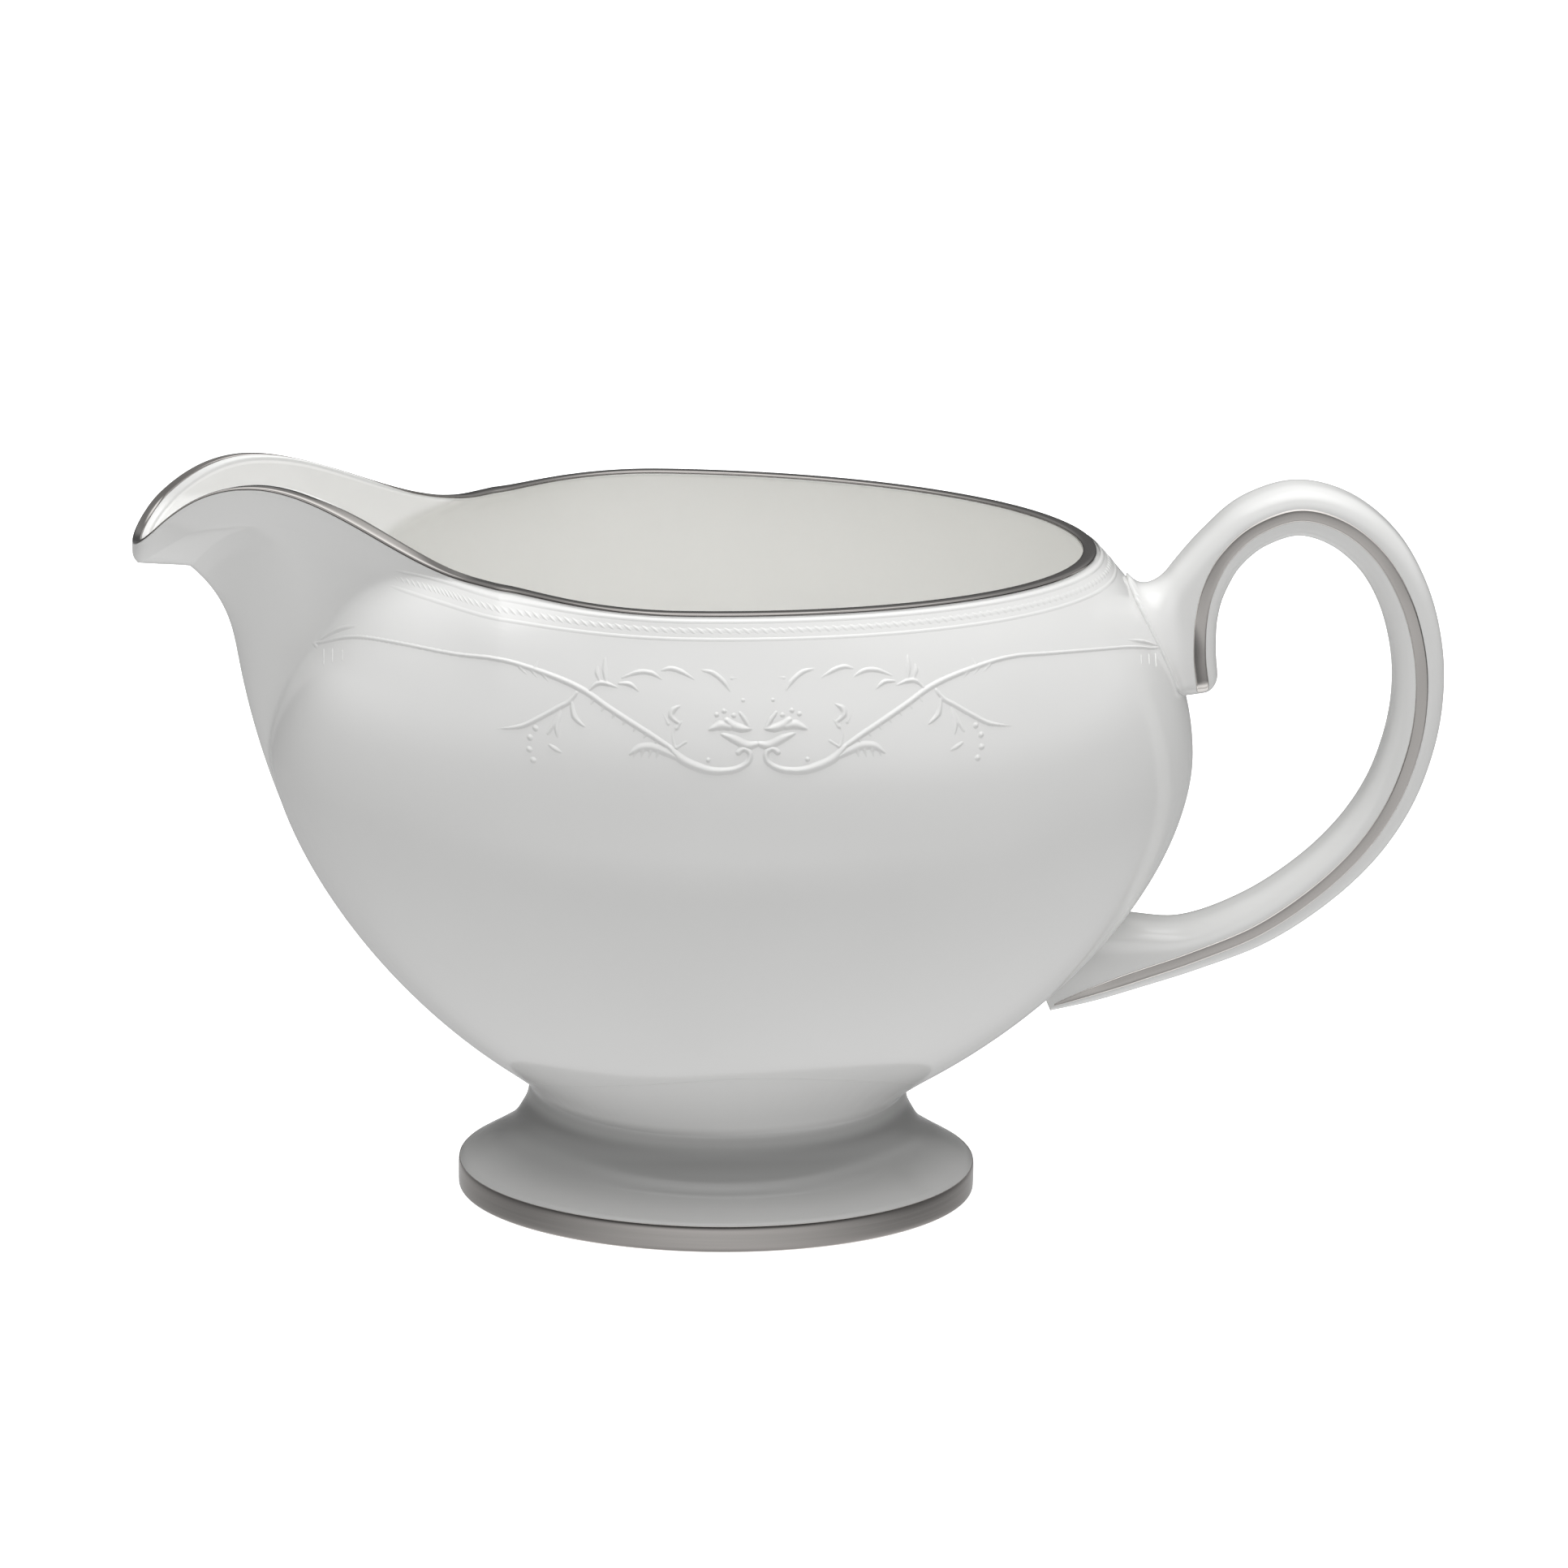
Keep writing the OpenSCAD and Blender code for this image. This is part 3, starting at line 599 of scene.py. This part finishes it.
def add_stripe(name, side):
    """Platinum along one side of the handle; side is -1 in front."""
    start, stop = 6, count - PER_SPAN // 4
    upper_length, lower_length = 3, 22
    shares = np.linspace(1, -1, STRIPE_POINTS)
    rows = []
    for i in range(start, stop):
        upper_taper = math.sqrt(clamp01((i - start + 0.5) / upper_length))
        lower_taper = clamp01((stop - i - 0.4) / lower_length) ** 0.6
        half = STRIPE_HALF * min(1.0, upper_taper, lower_taper)
        row = [stripe_point(i, share * half, side, FILM) for share in shares]
        row += [stripe_point(i, share * half, side, -FILM) for share in shares[::-1]]
        rows.append(row)
    grid = np.array(rows)
    centre = np.stack([line[start:stop, 0], np.zeros(stop - start), line[start:stop, 1]], -1)[:, None]
    raised = np.zeros_like(grid[..., :3])
    raised[..., 1] = grid[..., 3]
    grid = settle_on_body(grid[..., :3], np.broadcast_to(centre, raised.shape)) + raised
    ring = 2 * STRIPE_POINTS
    faces = grid_faces(len(grid), ring, flip=side < 0).tolist()
    ends = [list(range(ring - 1, -1, -1)), [(len(grid) - 1) * ring + k for k in range(ring)]]
    faces += [end[::-1] for end in ends] if side < 0 else ends
    return add_mesh(name, grid, faces)


handle = add_handle()
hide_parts("handle")
stripes = [add_stripe("stripe_front", -1), add_stripe("stripe_back", 1)]
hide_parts("handle_stripe_front")
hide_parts("handle_stripe_back")


# ---------------------------------------------------------------- collar of rings below the rim
COLLAR_LEVEL = RIM_HEIGHT - 2.2
COLLAR_START = -56      # x at which the rings end beside the spout
COLLAR_FADE = 7         # length over which they fade out there
RIDGE_GAP = 1.15
RIDGE_HALF, RIDGE_TALL = 0.42, 0.12
BEAD_PITCH = 1.35
BEAD_RADIUS, BEAD_TALL = 0.58, 0.14
BEAD_ROW_HALF = 0.76
THREAD_HALF, THREAD_TALL = 0.6, 0.07
SINK = 0.04             # depth of a ring's edge below the glaze


def collar_angles(level, step):
    """Evenly spaced angles from one side of the spout round the handle end to the other side."""
    fine = np.linspace(0, 2 * math.pi, 8001)
    ring = wall(fine, np.full(len(fine), level))
    first = np.argmax(ring[:, 0] > COLLAR_START)
    last = len(fine) - 1 - np.argmax(ring[::-1, 0] > COLLAR_START)
    length = run_length(ring[first : last + 1])
    wanted = np.arange(0, length[-1], step)
    return np.interp(wanted, length, fine[first : last + 1]), wanted, length[-1]


def without_sheer(theta, level):
    """Wall level whose points stay at the given height where the rim climbs over the spout."""
    flat = level
    for _ in range(24):
        x = wall(theta, flat)[..., 0]
        flat = level - np.clip(climbing(flat) * sheer(x + SPOUT_REACH), 0, 6)
    return flat


def add_ring(name, level, half, height_at, step=0.2, rows_across=11):
    """A ring that stands proud by height_at(distance along it, distance across it)."""
    theta, s, total = collar_angles(level, step)
    v = np.linspace(-1, 1, rows_across)
    theta_grid, v_grid = np.meshgrid(theta, v * half, indexing="ij")
    level_grid = without_sheer(theta_grid, level + v_grid)
    fade = ease(np.minimum(s, total - s) / COLLAR_FADE)
    height = height_at(s[:, None], v_grid) * fade[:, None] - SINK
    top = wall(theta_grid, level_grid) + wall_normal(theta_grid, level_grid) * height[..., None]
    return add_mesh(name, top, grid_faces(len(theta), rows_across, wrap_cols=False, flip=True))


def rounded(share):
    """1 in the middle, falling to 0 at a share of 1 or more, with no corner."""
    return np.cos(np.minimum(1, np.abs(share)) * math.pi / 2) ** 2


def ridge(s, v):
    return RIDGE_TALL * rounded(v / RIDGE_HALF)


def bead_row(s, v):
    along = (s + BEAD_PITCH / 2) % BEAD_PITCH - BEAD_PITCH / 2
    bead = BEAD_TALL * rounded(np.hypot(along, v) / BEAD_RADIUS) ** 0.75
    thread = THREAD_TALL * rounded(v / THREAD_HALF)
    return np.maximum(bead, thread)


collar = [
    add_ring("collar_upper", COLLAR_LEVEL + RIDGE_GAP, RIDGE_HALF, ridge),
    add_ring("collar_pearls", COLLAR_LEVEL, BEAD_ROW_HALF, bead_row, step=0.13, rows_across=15),
    add_ring("collar_lower", COLLAR_LEVEL - RIDGE_GAP, RIDGE_HALF, ridge),
]
for ring, node in zip(collar, ("collar_ridge_upper", "collar_beads", "collar_ridge_lower")):
    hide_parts(node)


# ---------------------------------------------------------------- moulded garland
# A stroke is a line of (distance from the ornament's middle, level), half widths along it, and a height.
RELIEF_AXIS = 2.9       # x of the ornament's middle
RELIEF_HEIGHT = 0.6
RELIEF_SOFTNESS = 0.46  # the glaze fills the hollows and lowers the relief
RELIEF_SINK = 0.03
RELIEF_STEP = 0.16
RELIEF_LEVELS = (80.6, 98.2)
RELIEF_REACH = (-0.4, 67)
STERN_SHORTENING = 0.08  # the garland's handle side is a little shorter, beyond this distance
SHORTENED_FROM = 40


def relief_x(u, half):
    shorter = STERN_SHORTENING * np.maximum(0, u - SHORTENED_FROM) if half > 0 else 0
    return RELIEF_AXIS + half * (u - shorter)


def leaf(points, widths, height=RELIEF_HEIGHT):
    return np.array(points, float), np.array(widths, float), height


def dot(at, radius, height=0.45):
    return leaf([at, (at[0] + 0.01, at[1])], [radius, radius], height)


STEM = [
    (65.6, 89.4), (64.3, 89.9), (60.8, 91.6), (56.8, 92.9), (50.2, 94.2), (42.5, 95.2), (38.6, 95.5),
    (34.7, 95.2), (29.4, 94.1), (25.6, 92.8), (22.3, 90.9), (19.1, 89.1), (15.7, 87.2), (12.7, 85.4),
]
SCROLL = [
    (12.9, 85.5), (11.2, 83.9), (8.7, 82.8), (6.1, 82.3), (3.3, 82.6), (1.5, 83.6), (1.2, 84.9), (2.1, 85.5),
    (2.9, 85.0),
]
garland = [
    leaf(STEM, [0.3, 0.35, 0.4, 0.4, 0.4, 0.42, 0.45, 0.5, 0.6, 0.65, 0.62, 0.62, 0.6, 0.5]),
    leaf(SCROLL, [0.5, 0.85, 0.85, 0.7, 0.6, 0.55, 0.55, 0.5, 0.55], 0.75),
    leaf([(34.9, 94.9), (33.9, 94.1)], [0.4, 0.2], 0.45),
    leaf([(33.3, 94.8), (32.4, 93.9)], [0.4, 0.2], 0.45),
    leaf([(31.6, 94.4), (30.8, 93.6)], [0.4, 0.2], 0.45),
    leaf([(32.8, 94.9), (32.2, 96.1)], [0.45, 0.15], 0.45),
    dot((7.3, 83.9), 0.45, 0.6),
]
for k in range(7):
    along, level = 14.8 + k * 1.55, 86.6 + k * 0.85
    garland.append(leaf([(along, level), (along + 0.4, level - 0.7)], [0.4, 0.2], 0.4))
branches = [
    leaf([(26.6, 92.4), (27.8, 91), (29.3, 90.1), (32.2, 88.3), (34.8, 86.9), (38.3, 86.1)],
         [0.35, 0.5, 0.5, 0.5, 0.45, 0.12]),
    leaf([(27.3, 91.2), (26.9, 89.1), (25.4, 87.8)], [0.25, 0.65, 0.2]),
    leaf([(29, 89.7), (29.8, 88), (30.8, 86.3)], [0.25, 0.55, 0.3], 0.4),
    leaf([(28.9, 89.6), (29.5, 87.6), (29.4, 86)], [0.25, 0.6, 0.2], 0.5),
    leaf([(30.5, 84.7), (29.6, 84.2), (28.7, 83.8)], [0.35, 0.5, 0.15], 0.45),
    leaf([(18.9, 84.2), (17.4, 85.3), (15.5, 85.5), (13.6, 84.9), (12, 84.2)], [0.15, 0.75, 0.85, 0.8, 0.6]),
]
branches += [leaf([(at, 84.9), (at + 0.25, 83.9)], [0.4, 0.15], 0.45) for at in (18, 16.9, 15.8, 14.7)]
berries = [dot(at, 0.62, 0.55) for at in ((32.6, 86.9), (33.4, 85.5), (33.5, 83.8), (32.9, 82.3))]
arches = [
    leaf([(24.9, 92.7), (23.7, 93.8), (22.4, 94), (20.5, 93.5)], [0.2, 0.45, 0.5, 0.15]),
    leaf([(20.4, 94.1), (18.8, 94.1), (17.5, 93.2)], [0.25, 0.5, 0.15]),
    leaf([(22.3, 94.2), (22.5, 95.8), (22.4, 97.4)], [0.25, 0.6, 0.2], 0.5),
    leaf([(23.2, 94.2), (23.6, 95.3), (23.5, 96.2)], [0.25, 0.5, 0.2], 0.45),
    leaf([(20, 94.9), (17.6, 95.8), (15.7, 95.8), (14.1, 95)], [0.2, 0.5, 0.5, 0.15], 0.5),
    leaf([(14.2, 96.2), (12.8, 96.5), (11.2, 96.1), (9.3, 95.1)], [0.2, 0.5, 0.5, 0.15], 0.5),
    leaf([(8.3, 96.4), (6.6, 96), (5, 94.8), (4.1, 93.5)], [0.2, 0.5, 0.5, 0.15], 0.5),
    leaf([(3.9, 95.3), (2.9, 95.4)], [0.35, 0.15], 0.35),
    leaf([(11.6, 89), (12.7, 89.9), (12.5, 90.8), (11.4, 91.5)], [0.3, 0.6, 0.6, 0.15]),
    leaf([(13.2, 88.9), (14, 90.4)], [0.4, 0.15], 0.4),
    leaf([(12, 88.3), (11.2, 89.3)], [0.45, 0.2], 0.45),
    leaf([(12.2, 85.6), (12.5, 87.2), (12.1, 88.6)], [0.35, 0.3, 0.25], 0.4),
    leaf([(12, 85.5), (10.6, 86.4)], [0.35, 0.3], 0.5),
]
blossoms = [
    leaf([(7.3, 88.1), (5.6, 88.8), (4.1, 88.6)], [0.15, 0.95, 0.7], 0.7),
    leaf([(4.6, 89.5), (3.7, 88.8), (2.4, 88.4), (0.9, 88.3)], [0.6, 0.9, 0.8, 0.15], 0.75),
    leaf([(5.4, 87.6), (3.6, 86.9), (1.6, 86), (0.2, 86.2)], [0.25, 0.8, 0.9, 0.5], 0.65),
    leaf([(2.7, 90.6), (1.9, 89.6), (1.3, 88.6)], [0.3, 0.5, 0.35], 0.6),
    dot((6.1, 90.3), 0.5, 0.5),
    dot((5, 90.8), 0.5, 0.5),
    dot((3.6, 90.2), 0.5, 0.5),
    dot((2.2, 92.3), 0.42, 0.45),
]
tassels = [
    dot((65.2, 89.3), 0.75, 0.6),
    leaf([(64.5, 90.1), (61.7, 91.9), (58.7, 93.3)], [0.25, 0.6, 0.15], 0.5),
    leaf([(64, 89.4), (64, 88)], [0.35, 0.3], 0.5),
    leaf([(62.7, 89.9), (62.7, 88.8)], [0.35, 0.3], 0.45),
    leaf([(61.2, 90.4), (61.2, 89.5)], [0.35, 0.3], 0.45),
]


def relief_grid(face, half):
    """A fine even grid on one half of one face of the wall, where the garland lies.

    It holds the distances and levels of its points, the points, the normals and how far the wall
    stretches a unit of distance and of level.
    """
    u_fine = np.linspace(*RELIEF_REACH, 1600)
    middle_level = np.full_like(u_fine, 90.0)
    length = run_length(wall(theta_at(relief_x(u_fine, half), middle_level, face), middle_level))
    u = np.interp(np.arange(0, length[-1], RELIEF_STEP), length, u_fine)
    v_step = RELIEF_STEP * 0.9
    uu, vv = np.meshgrid(u, np.arange(*RELIEF_LEVELS, v_step), indexing="ij")
    theta = theta_at(relief_x(uu, half), vv, face)
    points = wall(theta, vv)
    stretch_u = np.linalg.norm(np.gradient(points, axis=0), axis=-1) / np.gradient(u)[:, None]
    stretch_v = np.linalg.norm(np.gradient(points, axis=1), axis=-1) / v_step
    return uu, vv, points, wall_normal(theta, vv), stretch_u, stretch_v


def stroke_height(stroke, uu, vv, stretch_u, stretch_v):
    """Height of one stroke over the grid: rounded across, and tapering with its width."""
    points, widths, tall = stroke
    spans = len(widths) - 1
    spacing, margin, full_width = 0.12, 1.2, 0.45
    steps = max(2, int(run_length(points)[-1] / spacing / spans))
    s = np.linspace(0, spans, spans * steps + 1)
    path = curve_at(points, s)
    width = np.interp(s, np.arange(len(widths)), widths)
    height = np.zeros_like(uu)
    low, high = path.min(0) - margin, path.max(0) + margin
    window = (uu > low[0]) & (uu < high[0]) & (vv > low[1]) & (vv < high[1])
    if not window.any():
        return height
    du = (uu[window][:, None] - path[:, 0]) * stretch_u[window][:, None]
    dv = (vv[window][:, None] - path[:, 1]) * stretch_v[window][:, None]
    bump = rounded(np.hypot(du, dv) / (1.05 * width)) * np.minimum(1, width / full_width)
    height[window] = RELIEF_SOFTNESS * tall * bump.max(1)
    return height


grids = {(face, half): relief_grid(face, half) for face in (-1, 1) for half in (-1, 1)}


def add_relief(name, strokes, face):
    """One motif on one face, as the patches of the grid that its strokes raise."""
    all_points, all_faces = [], []
    offset = 0
    for half in (-1, 1):
        uu, vv, base, normal, stretch_u, stretch_v = grids[(face, half)]
        height = np.zeros_like(uu)
        for stroke in strokes:
            height = np.maximum(height, stroke_height(stroke, uu, vv, stretch_u, stretch_v))
        raised = base + normal * (height * (1 + RELIEF_SINK) - RELIEF_SINK)[..., None]
        faces = grid_faces(*uu.shape, wrap_cols=False, flip=face * half < 0)
        faces = faces[height.reshape(-1)[faces].max(1) > 0]
        used, packed = np.unique(faces, return_inverse=True)
        all_points.append(raised.reshape(-1, 3)[used])
        all_faces.append(packed.reshape(faces.shape) + offset)
        offset += len(used)
    return add_mesh(name, np.vstack(all_points), np.vstack(all_faces))


MOTIFS = {
    "garland": garland, "branches": branches, "berries": berries,
    "arches": arches, "blossoms": blossoms, "tassels": tassels,
}
relief = []
for face, face_name in ((-1, "front"), (1, "back")):
    for motif, strokes in MOTIFS.items():
        relief.append(add_relief(f"{motif}_relief_{face_name}", strokes, face))
        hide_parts(f"{motif}_{face_name}")


# ---------------------------------------------------------------- materials
def new_material(name):
    material = bpy.data.materials.new(name)
    material.use_nodes = True
    nodes = material.node_tree.nodes
    return material, nodes, material.node_tree.links, nodes["Principled BSDF"]


def noise(nodes, links, coordinates, scale, detail):
    node = nodes.new("ShaderNodeTexNoise")
    node.inputs["Scale"].default_value = scale
    node.inputs["Detail"].default_value = detail
    links.new(coordinates, node.inputs["Vector"])
    return node.outputs["Fac"]


def ramp(nodes, links, value, low, high):
    """A blend of two colours over the middle part of a noise."""
    node = nodes.new("ShaderNodeValToRGB")
    for element, position, colour in zip(node.color_ramp.elements, (0.3, 0.7), (low, high)):
        element.position = position
        element.color = (*colour, 1)
    links.new(value, node.inputs["Fac"])
    return node.outputs["Color"]


def map_range(nodes, links, value, low, high):
    """The value, which runs from 0 to 1, carried over to run from low to high."""
    node = nodes.new("ShaderNodeMapRange")
    node.inputs["To Min"].default_value = low
    node.inputs["To Max"].default_value = high
    links.new(value, node.inputs["Value"])
    return node.outputs["Result"]


def object_coordinates(nodes, links, stretch=(1, 1, 1)):
    coordinates = nodes.new("ShaderNodeTexCoord").outputs["Object"]
    mapping = nodes.new("ShaderNodeMapping")
    mapping.inputs["Scale"].default_value = stretch
    links.new(coordinates, mapping.inputs["Vector"])
    return mapping.outputs["Vector"]


def add_bump(nodes, links, shader, height, distance, strength):
    node = nodes.new("ShaderNodeBump")
    node.inputs["Distance"].default_value = distance
    node.inputs["Strength"].default_value = strength
    links.new(height, node.inputs["Height"])
    links.new(node.outputs["Normal"], shader.inputs["Normal"])


def paint_shade_by_height(nodes, links, colour, stops):
    """Painted shade: the colour times a share that follows the height; stops are (metres, share) from low to
    high.
    """
    split = nodes.new("ShaderNodeSeparateXYZ")
    links.new(nodes.new("ShaderNodeTexCoord").outputs["Object"], split.inputs["Vector"])
    low, high = stops[0][0], stops[-1][0]
    position = nodes.new("ShaderNodeMapRange")
    position.inputs["From Min"].default_value = low
    position.inputs["From Max"].default_value = high
    links.new(split.outputs["Z"], position.inputs["Value"])
    levels = nodes.new("ShaderNodeValToRGB")
    elements = levels.color_ramp.elements
    levels.color_ramp.interpolation = "EASE"
    for height, _ in stops[1:-1]:
        elements.new((height - low) / (high - low))
    for element, (_, share) in zip(elements, stops):
        element.color = (share, share, share, 1)
    links.new(position.outputs["Result"], levels.inputs["Fac"])
    product = nodes.new("ShaderNodeVectorMath")
    product.operation = "MULTIPLY"
    links.new(colour, product.inputs[0])
    links.new(levels.outputs["Color"], product.inputs[1])
    return product.outputs["Vector"]


def porcelain(name, pale, shade, roughness=(0.08, 0.15), painted_shade=None):
    """Glazed bone china: a clouded white body, fine grain and the slight waviness of the glaze. A height
    table, if given as the last argument, paints shade into the colour by height.
    """
    material, nodes, links, shader = new_material(name)
    place = object_coordinates(nodes, links)
    colour = ramp(nodes, links, noise(nodes, links, place, 30, 4), shade, pale)
    # Painted shade: the colour is darkened by height.
    if painted_shade:
        colour = paint_shade_by_height(nodes, links, colour, painted_shade)
    links.new(colour, shader.inputs["Base Color"])
    polish = map_range(nodes, links, noise(nodes, links, place, 60, 3), *roughness)
    links.new(polish, shader.inputs["Roughness"])
    shader.inputs["IOR"].default_value = 1.5
    add_bump(nodes, links, shader, noise(nodes, links, place, 220, 2), 0.00002, 0.5)
    return material


def platinum(name, pale, shade, stretch=(1, 1, 1), roughness=(0.1, 0.18)):
    """Fired platinum, burnished along the line: stretch scales the grain along each axis."""
    material, nodes, links, shader = new_material(name)
    place = object_coordinates(nodes, links, stretch)
    grain = noise(nodes, links, place, 40, 3)
    links.new(ramp(nodes, links, grain, shade, pale), shader.inputs["Base Color"])
    links.new(map_range(nodes, links, grain, *roughness), shader.inputs["Roughness"])
    shader.inputs["Metallic"].default_value = 1.0
    add_bump(nodes, links, shader, grain, 0.00003, 0.4)
    return material


# Painted shade on the foot, which stands in the shadow under the belly: the glaze is darkened by height
# (height in metres, share of the glaze's brightness)
FOOT_PAINTED_SHADE = ((0.004, 0.7), (0.009, 0.47), (0.0135, 0.38), (0.0155, 0.55), (0.0185, 1.0))
WHITE, WHITE_SHADE = (0.80, 0.80, 0.79), (0.78, 0.78, 0.77)
glaze = porcelain("glaze_outside", WHITE, WHITE_SHADE)
# The inside glaze is a brighter copy of the same glaze: painted light for the lit inside of the bowl.
glaze_inside_painted_light = porcelain("glaze_inside_painted_light", (0.884, 0.882, 0.866), (0.868, 0.866, 0.85))
# The foot's glaze carries painted shade, darker by height under the belly.
foot_glaze_painted_shade = porcelain("glaze_foot_painted_shade", WHITE, WHITE_SHADE, painted_shade=FOOT_PAINTED_SHADE)
metal = platinum("platinum_line", (0.72, 0.69, 0.665), (0.66, 0.635, 0.61), roughness=(0.16, 0.28))
# The rim's platinum is a much darker copy of the same metal: painted shade in place of its dark reflections,
# so the lip reads as a thin dark line.
metal_rim_painted_shade = platinum("platinum_rim_painted_shade", (0.31, 0.295, 0.285), (0.26, 0.25, 0.24))
# The foot's platinum is a darker copy of the same metal: painted shade under the belly; its stretched grain
# is the burnishing.
metal_foot_painted_shade = platinum(
    "platinum_foot_painted_shade", (0.60, 0.57, 0.55), (0.52, 0.50, 0.48), stretch=(0.4, 0.4, 14), roughness=(0.1, 0.16)
)

china = [bowl, foot, handle, *collar, *relief]
lines = [rim_band, foot_band, *stripes]
own_material = {foot.name: foot_glaze_painted_shade, rim_band.name: metal_rim_painted_shade, foot_band.name: metal_foot_painted_shade}
for piece in china:
    piece.data.materials.append(own_material.get(piece.name, glaze))
for piece in lines:
    piece.data.materials.append(own_material.get(piece.name, metal))
for piece in china + lines:
    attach(piece, "root")

# The bowl's inside faces have their own glaze, brighter than the outside's as painted light; its last face is
# the seam at the bottom outside.
bowl.data.materials.append(glaze_inside_painted_light)
bowl_slots = np.zeros(len(bowl.data.polygons), int)
bowl_slots[bowl_inside:-1] = 1
bowl.data.polygons.foreach_set("material_index", bowl_slots)


# ---------------------------------------------------------------- floor, light and camera
def add_floor():
    """Pale paper that the camera sees; the tent's light from below reaches the object through it."""
    half = 4000
    corners = [(-half, -half, 0), (half, -half, 0), (half, half, 0), (-half, half, 0)]
    floor = add_mesh("floor", corners, [(0, 1, 2, 3)])
    material, nodes, links, shader = new_material("floor_paper")
    grain = noise(nodes, links, object_coordinates(nodes, links), 300, 3)
    tone = ramp(nodes, links, grain, (0.93, 0.93, 0.93), (0.96, 0.96, 0.96))
    links.new(tone, shader.inputs["Base Color"])
    links.new(tone, shader.inputs["Emission Color"])
    shader.inputs["Emission Strength"].default_value = 0.75
    shader.inputs["Roughness"].default_value = 0.9
    shader.inputs["Specular IOR Level"].default_value = 0.0
    floor.data.materials.append(material)
    floor.visible_diffuse = False
    floor.visible_glossy = False
    floor.visible_shadow = False
    return floor


floor = add_floor()


# Radiance of the studio by the height of the direction, for each side of the tent
HEIGHTS = (-1.0, -0.6, -0.3, -0.12, 0.05, 0.25, 0.5, 0.75, 1.0)
STUDIO = {
    "front": (1.3, 0.1, 0.76, 0.08, 0.0, 1.5, 1.95, 0.1, 3.2),
    "back": (1.4, 0.5, 0.45, 0.18, 0.11, 0.17, 0.6, 0.56, 3.15),
    "left": (1.4, 0.75, 0.2, 0.12, 0.0, 0.65, 0.5, 0.6, 3.15),
    "right": (1.4, 0.95, 0.16, 0.12, 0.0, 0.95, 0.46, 1.0, 3.15),
}
BRIGHTEST = 3.5


def studio_world():
    """A white tent whose sides have their own brightness at each height."""
    world = bpy.data.worlds.new("studio")
    world.use_nodes = True
    nodes, links = world.node_tree.nodes, world.node_tree.links

    def maths(operation, first, second):
        """A value or a socket's output combined with another."""
        node = nodes.new("ShaderNodeMath")
        node.operation = operation
        for socket, value in zip(node.inputs, (first, second)):
            if isinstance(value, (int, float)):
                socket.default_value = value
            else:
                links.new(value, socket)
        return node.outputs["Value"]

    direction = nodes.new("ShaderNodeTexCoord").outputs["Generated"]
    split = nodes.new("ShaderNodeSeparateXYZ")
    links.new(direction, split.inputs["Vector"])
    x, y, z = (split.outputs[axis] for axis in "XYZ")
    flat = maths("ADD", maths("MULTIPLY", x, x), maths("MULTIPLY", y, y))
    flat = maths("MAXIMUM", flat, 0.0001)
    height = maths("ADD", maths("MULTIPLY", z, 0.5), 0.5)
    total = None
    for name, axis, sign in (("front", y, -1), ("back", y, 1), ("left", x, -1), ("right", x, 1)):
        toward = maths("MAXIMUM", maths("MULTIPLY", axis, sign), 0.0)
        share = maths("DIVIDE", maths("MULTIPLY", toward, toward), flat)
        levels = nodes.new("ShaderNodeValToRGB")
        elements = levels.color_ramp.elements
        for stop in HEIGHTS[1:-1]:
            elements.new((stop + 1) / 2)
        for element, radiance in zip(elements, STUDIO[name]):
            element.color = (radiance / BRIGHTEST,) * 3 + (1,)
        links.new(height, levels.inputs["Fac"])
        part = maths("MULTIPLY", share, levels.outputs["Color"])
        total = part if total is None else maths("ADD", total, part)
    links.new(total, nodes["Background"].inputs["Color"])
    nodes["Background"].inputs["Strength"].default_value = BRIGHTEST
    return world


AZIMUTH, ELEVATION, ROLL = math.radians(-3.0), math.radians(16.4), math.radians(1.0)
TARGET = Vector((9.55, 0, 64.75)) * MM
DISTANCE = 1221 * MM
SENSOR, LENS = 36.0, 182.01


def add_camera():
    """A long lens, slightly above the rim, turned to the side that shows the spout on the left."""
    flat = math.cos(ELEVATION)
    back = Vector((math.sin(AZIMUTH) * flat, -math.cos(AZIMUTH) * flat, math.sin(ELEVATION)))
    right = Vector((math.cos(AZIMUTH), math.sin(AZIMUTH), 0))
    up = back.cross(right)
    tilted_right = right * math.cos(ROLL) + up * math.sin(ROLL)
    tilted_up = up * math.cos(ROLL) - right * math.sin(ROLL)
    data = bpy.data.cameras.new("camera")
    data.sensor_width = SENSOR
    data.lens = LENS
    camera = bpy.data.objects.new("camera", data)
    bpy.context.scene.collection.objects.link(camera)
    axes = Matrix((tilted_right, tilted_up, back)).transposed().to_4x4()
    camera.matrix_world = Matrix.Translation(TARGET + back * DISTANCE) @ axes
    return camera


scene = bpy.context.scene
scene.world = studio_world()
scene.camera = add_camera()
scene.cycles.diffuse_bounces = 10
scene.cycles.max_bounces = 12
scene.view_settings.view_transform = "Standard"
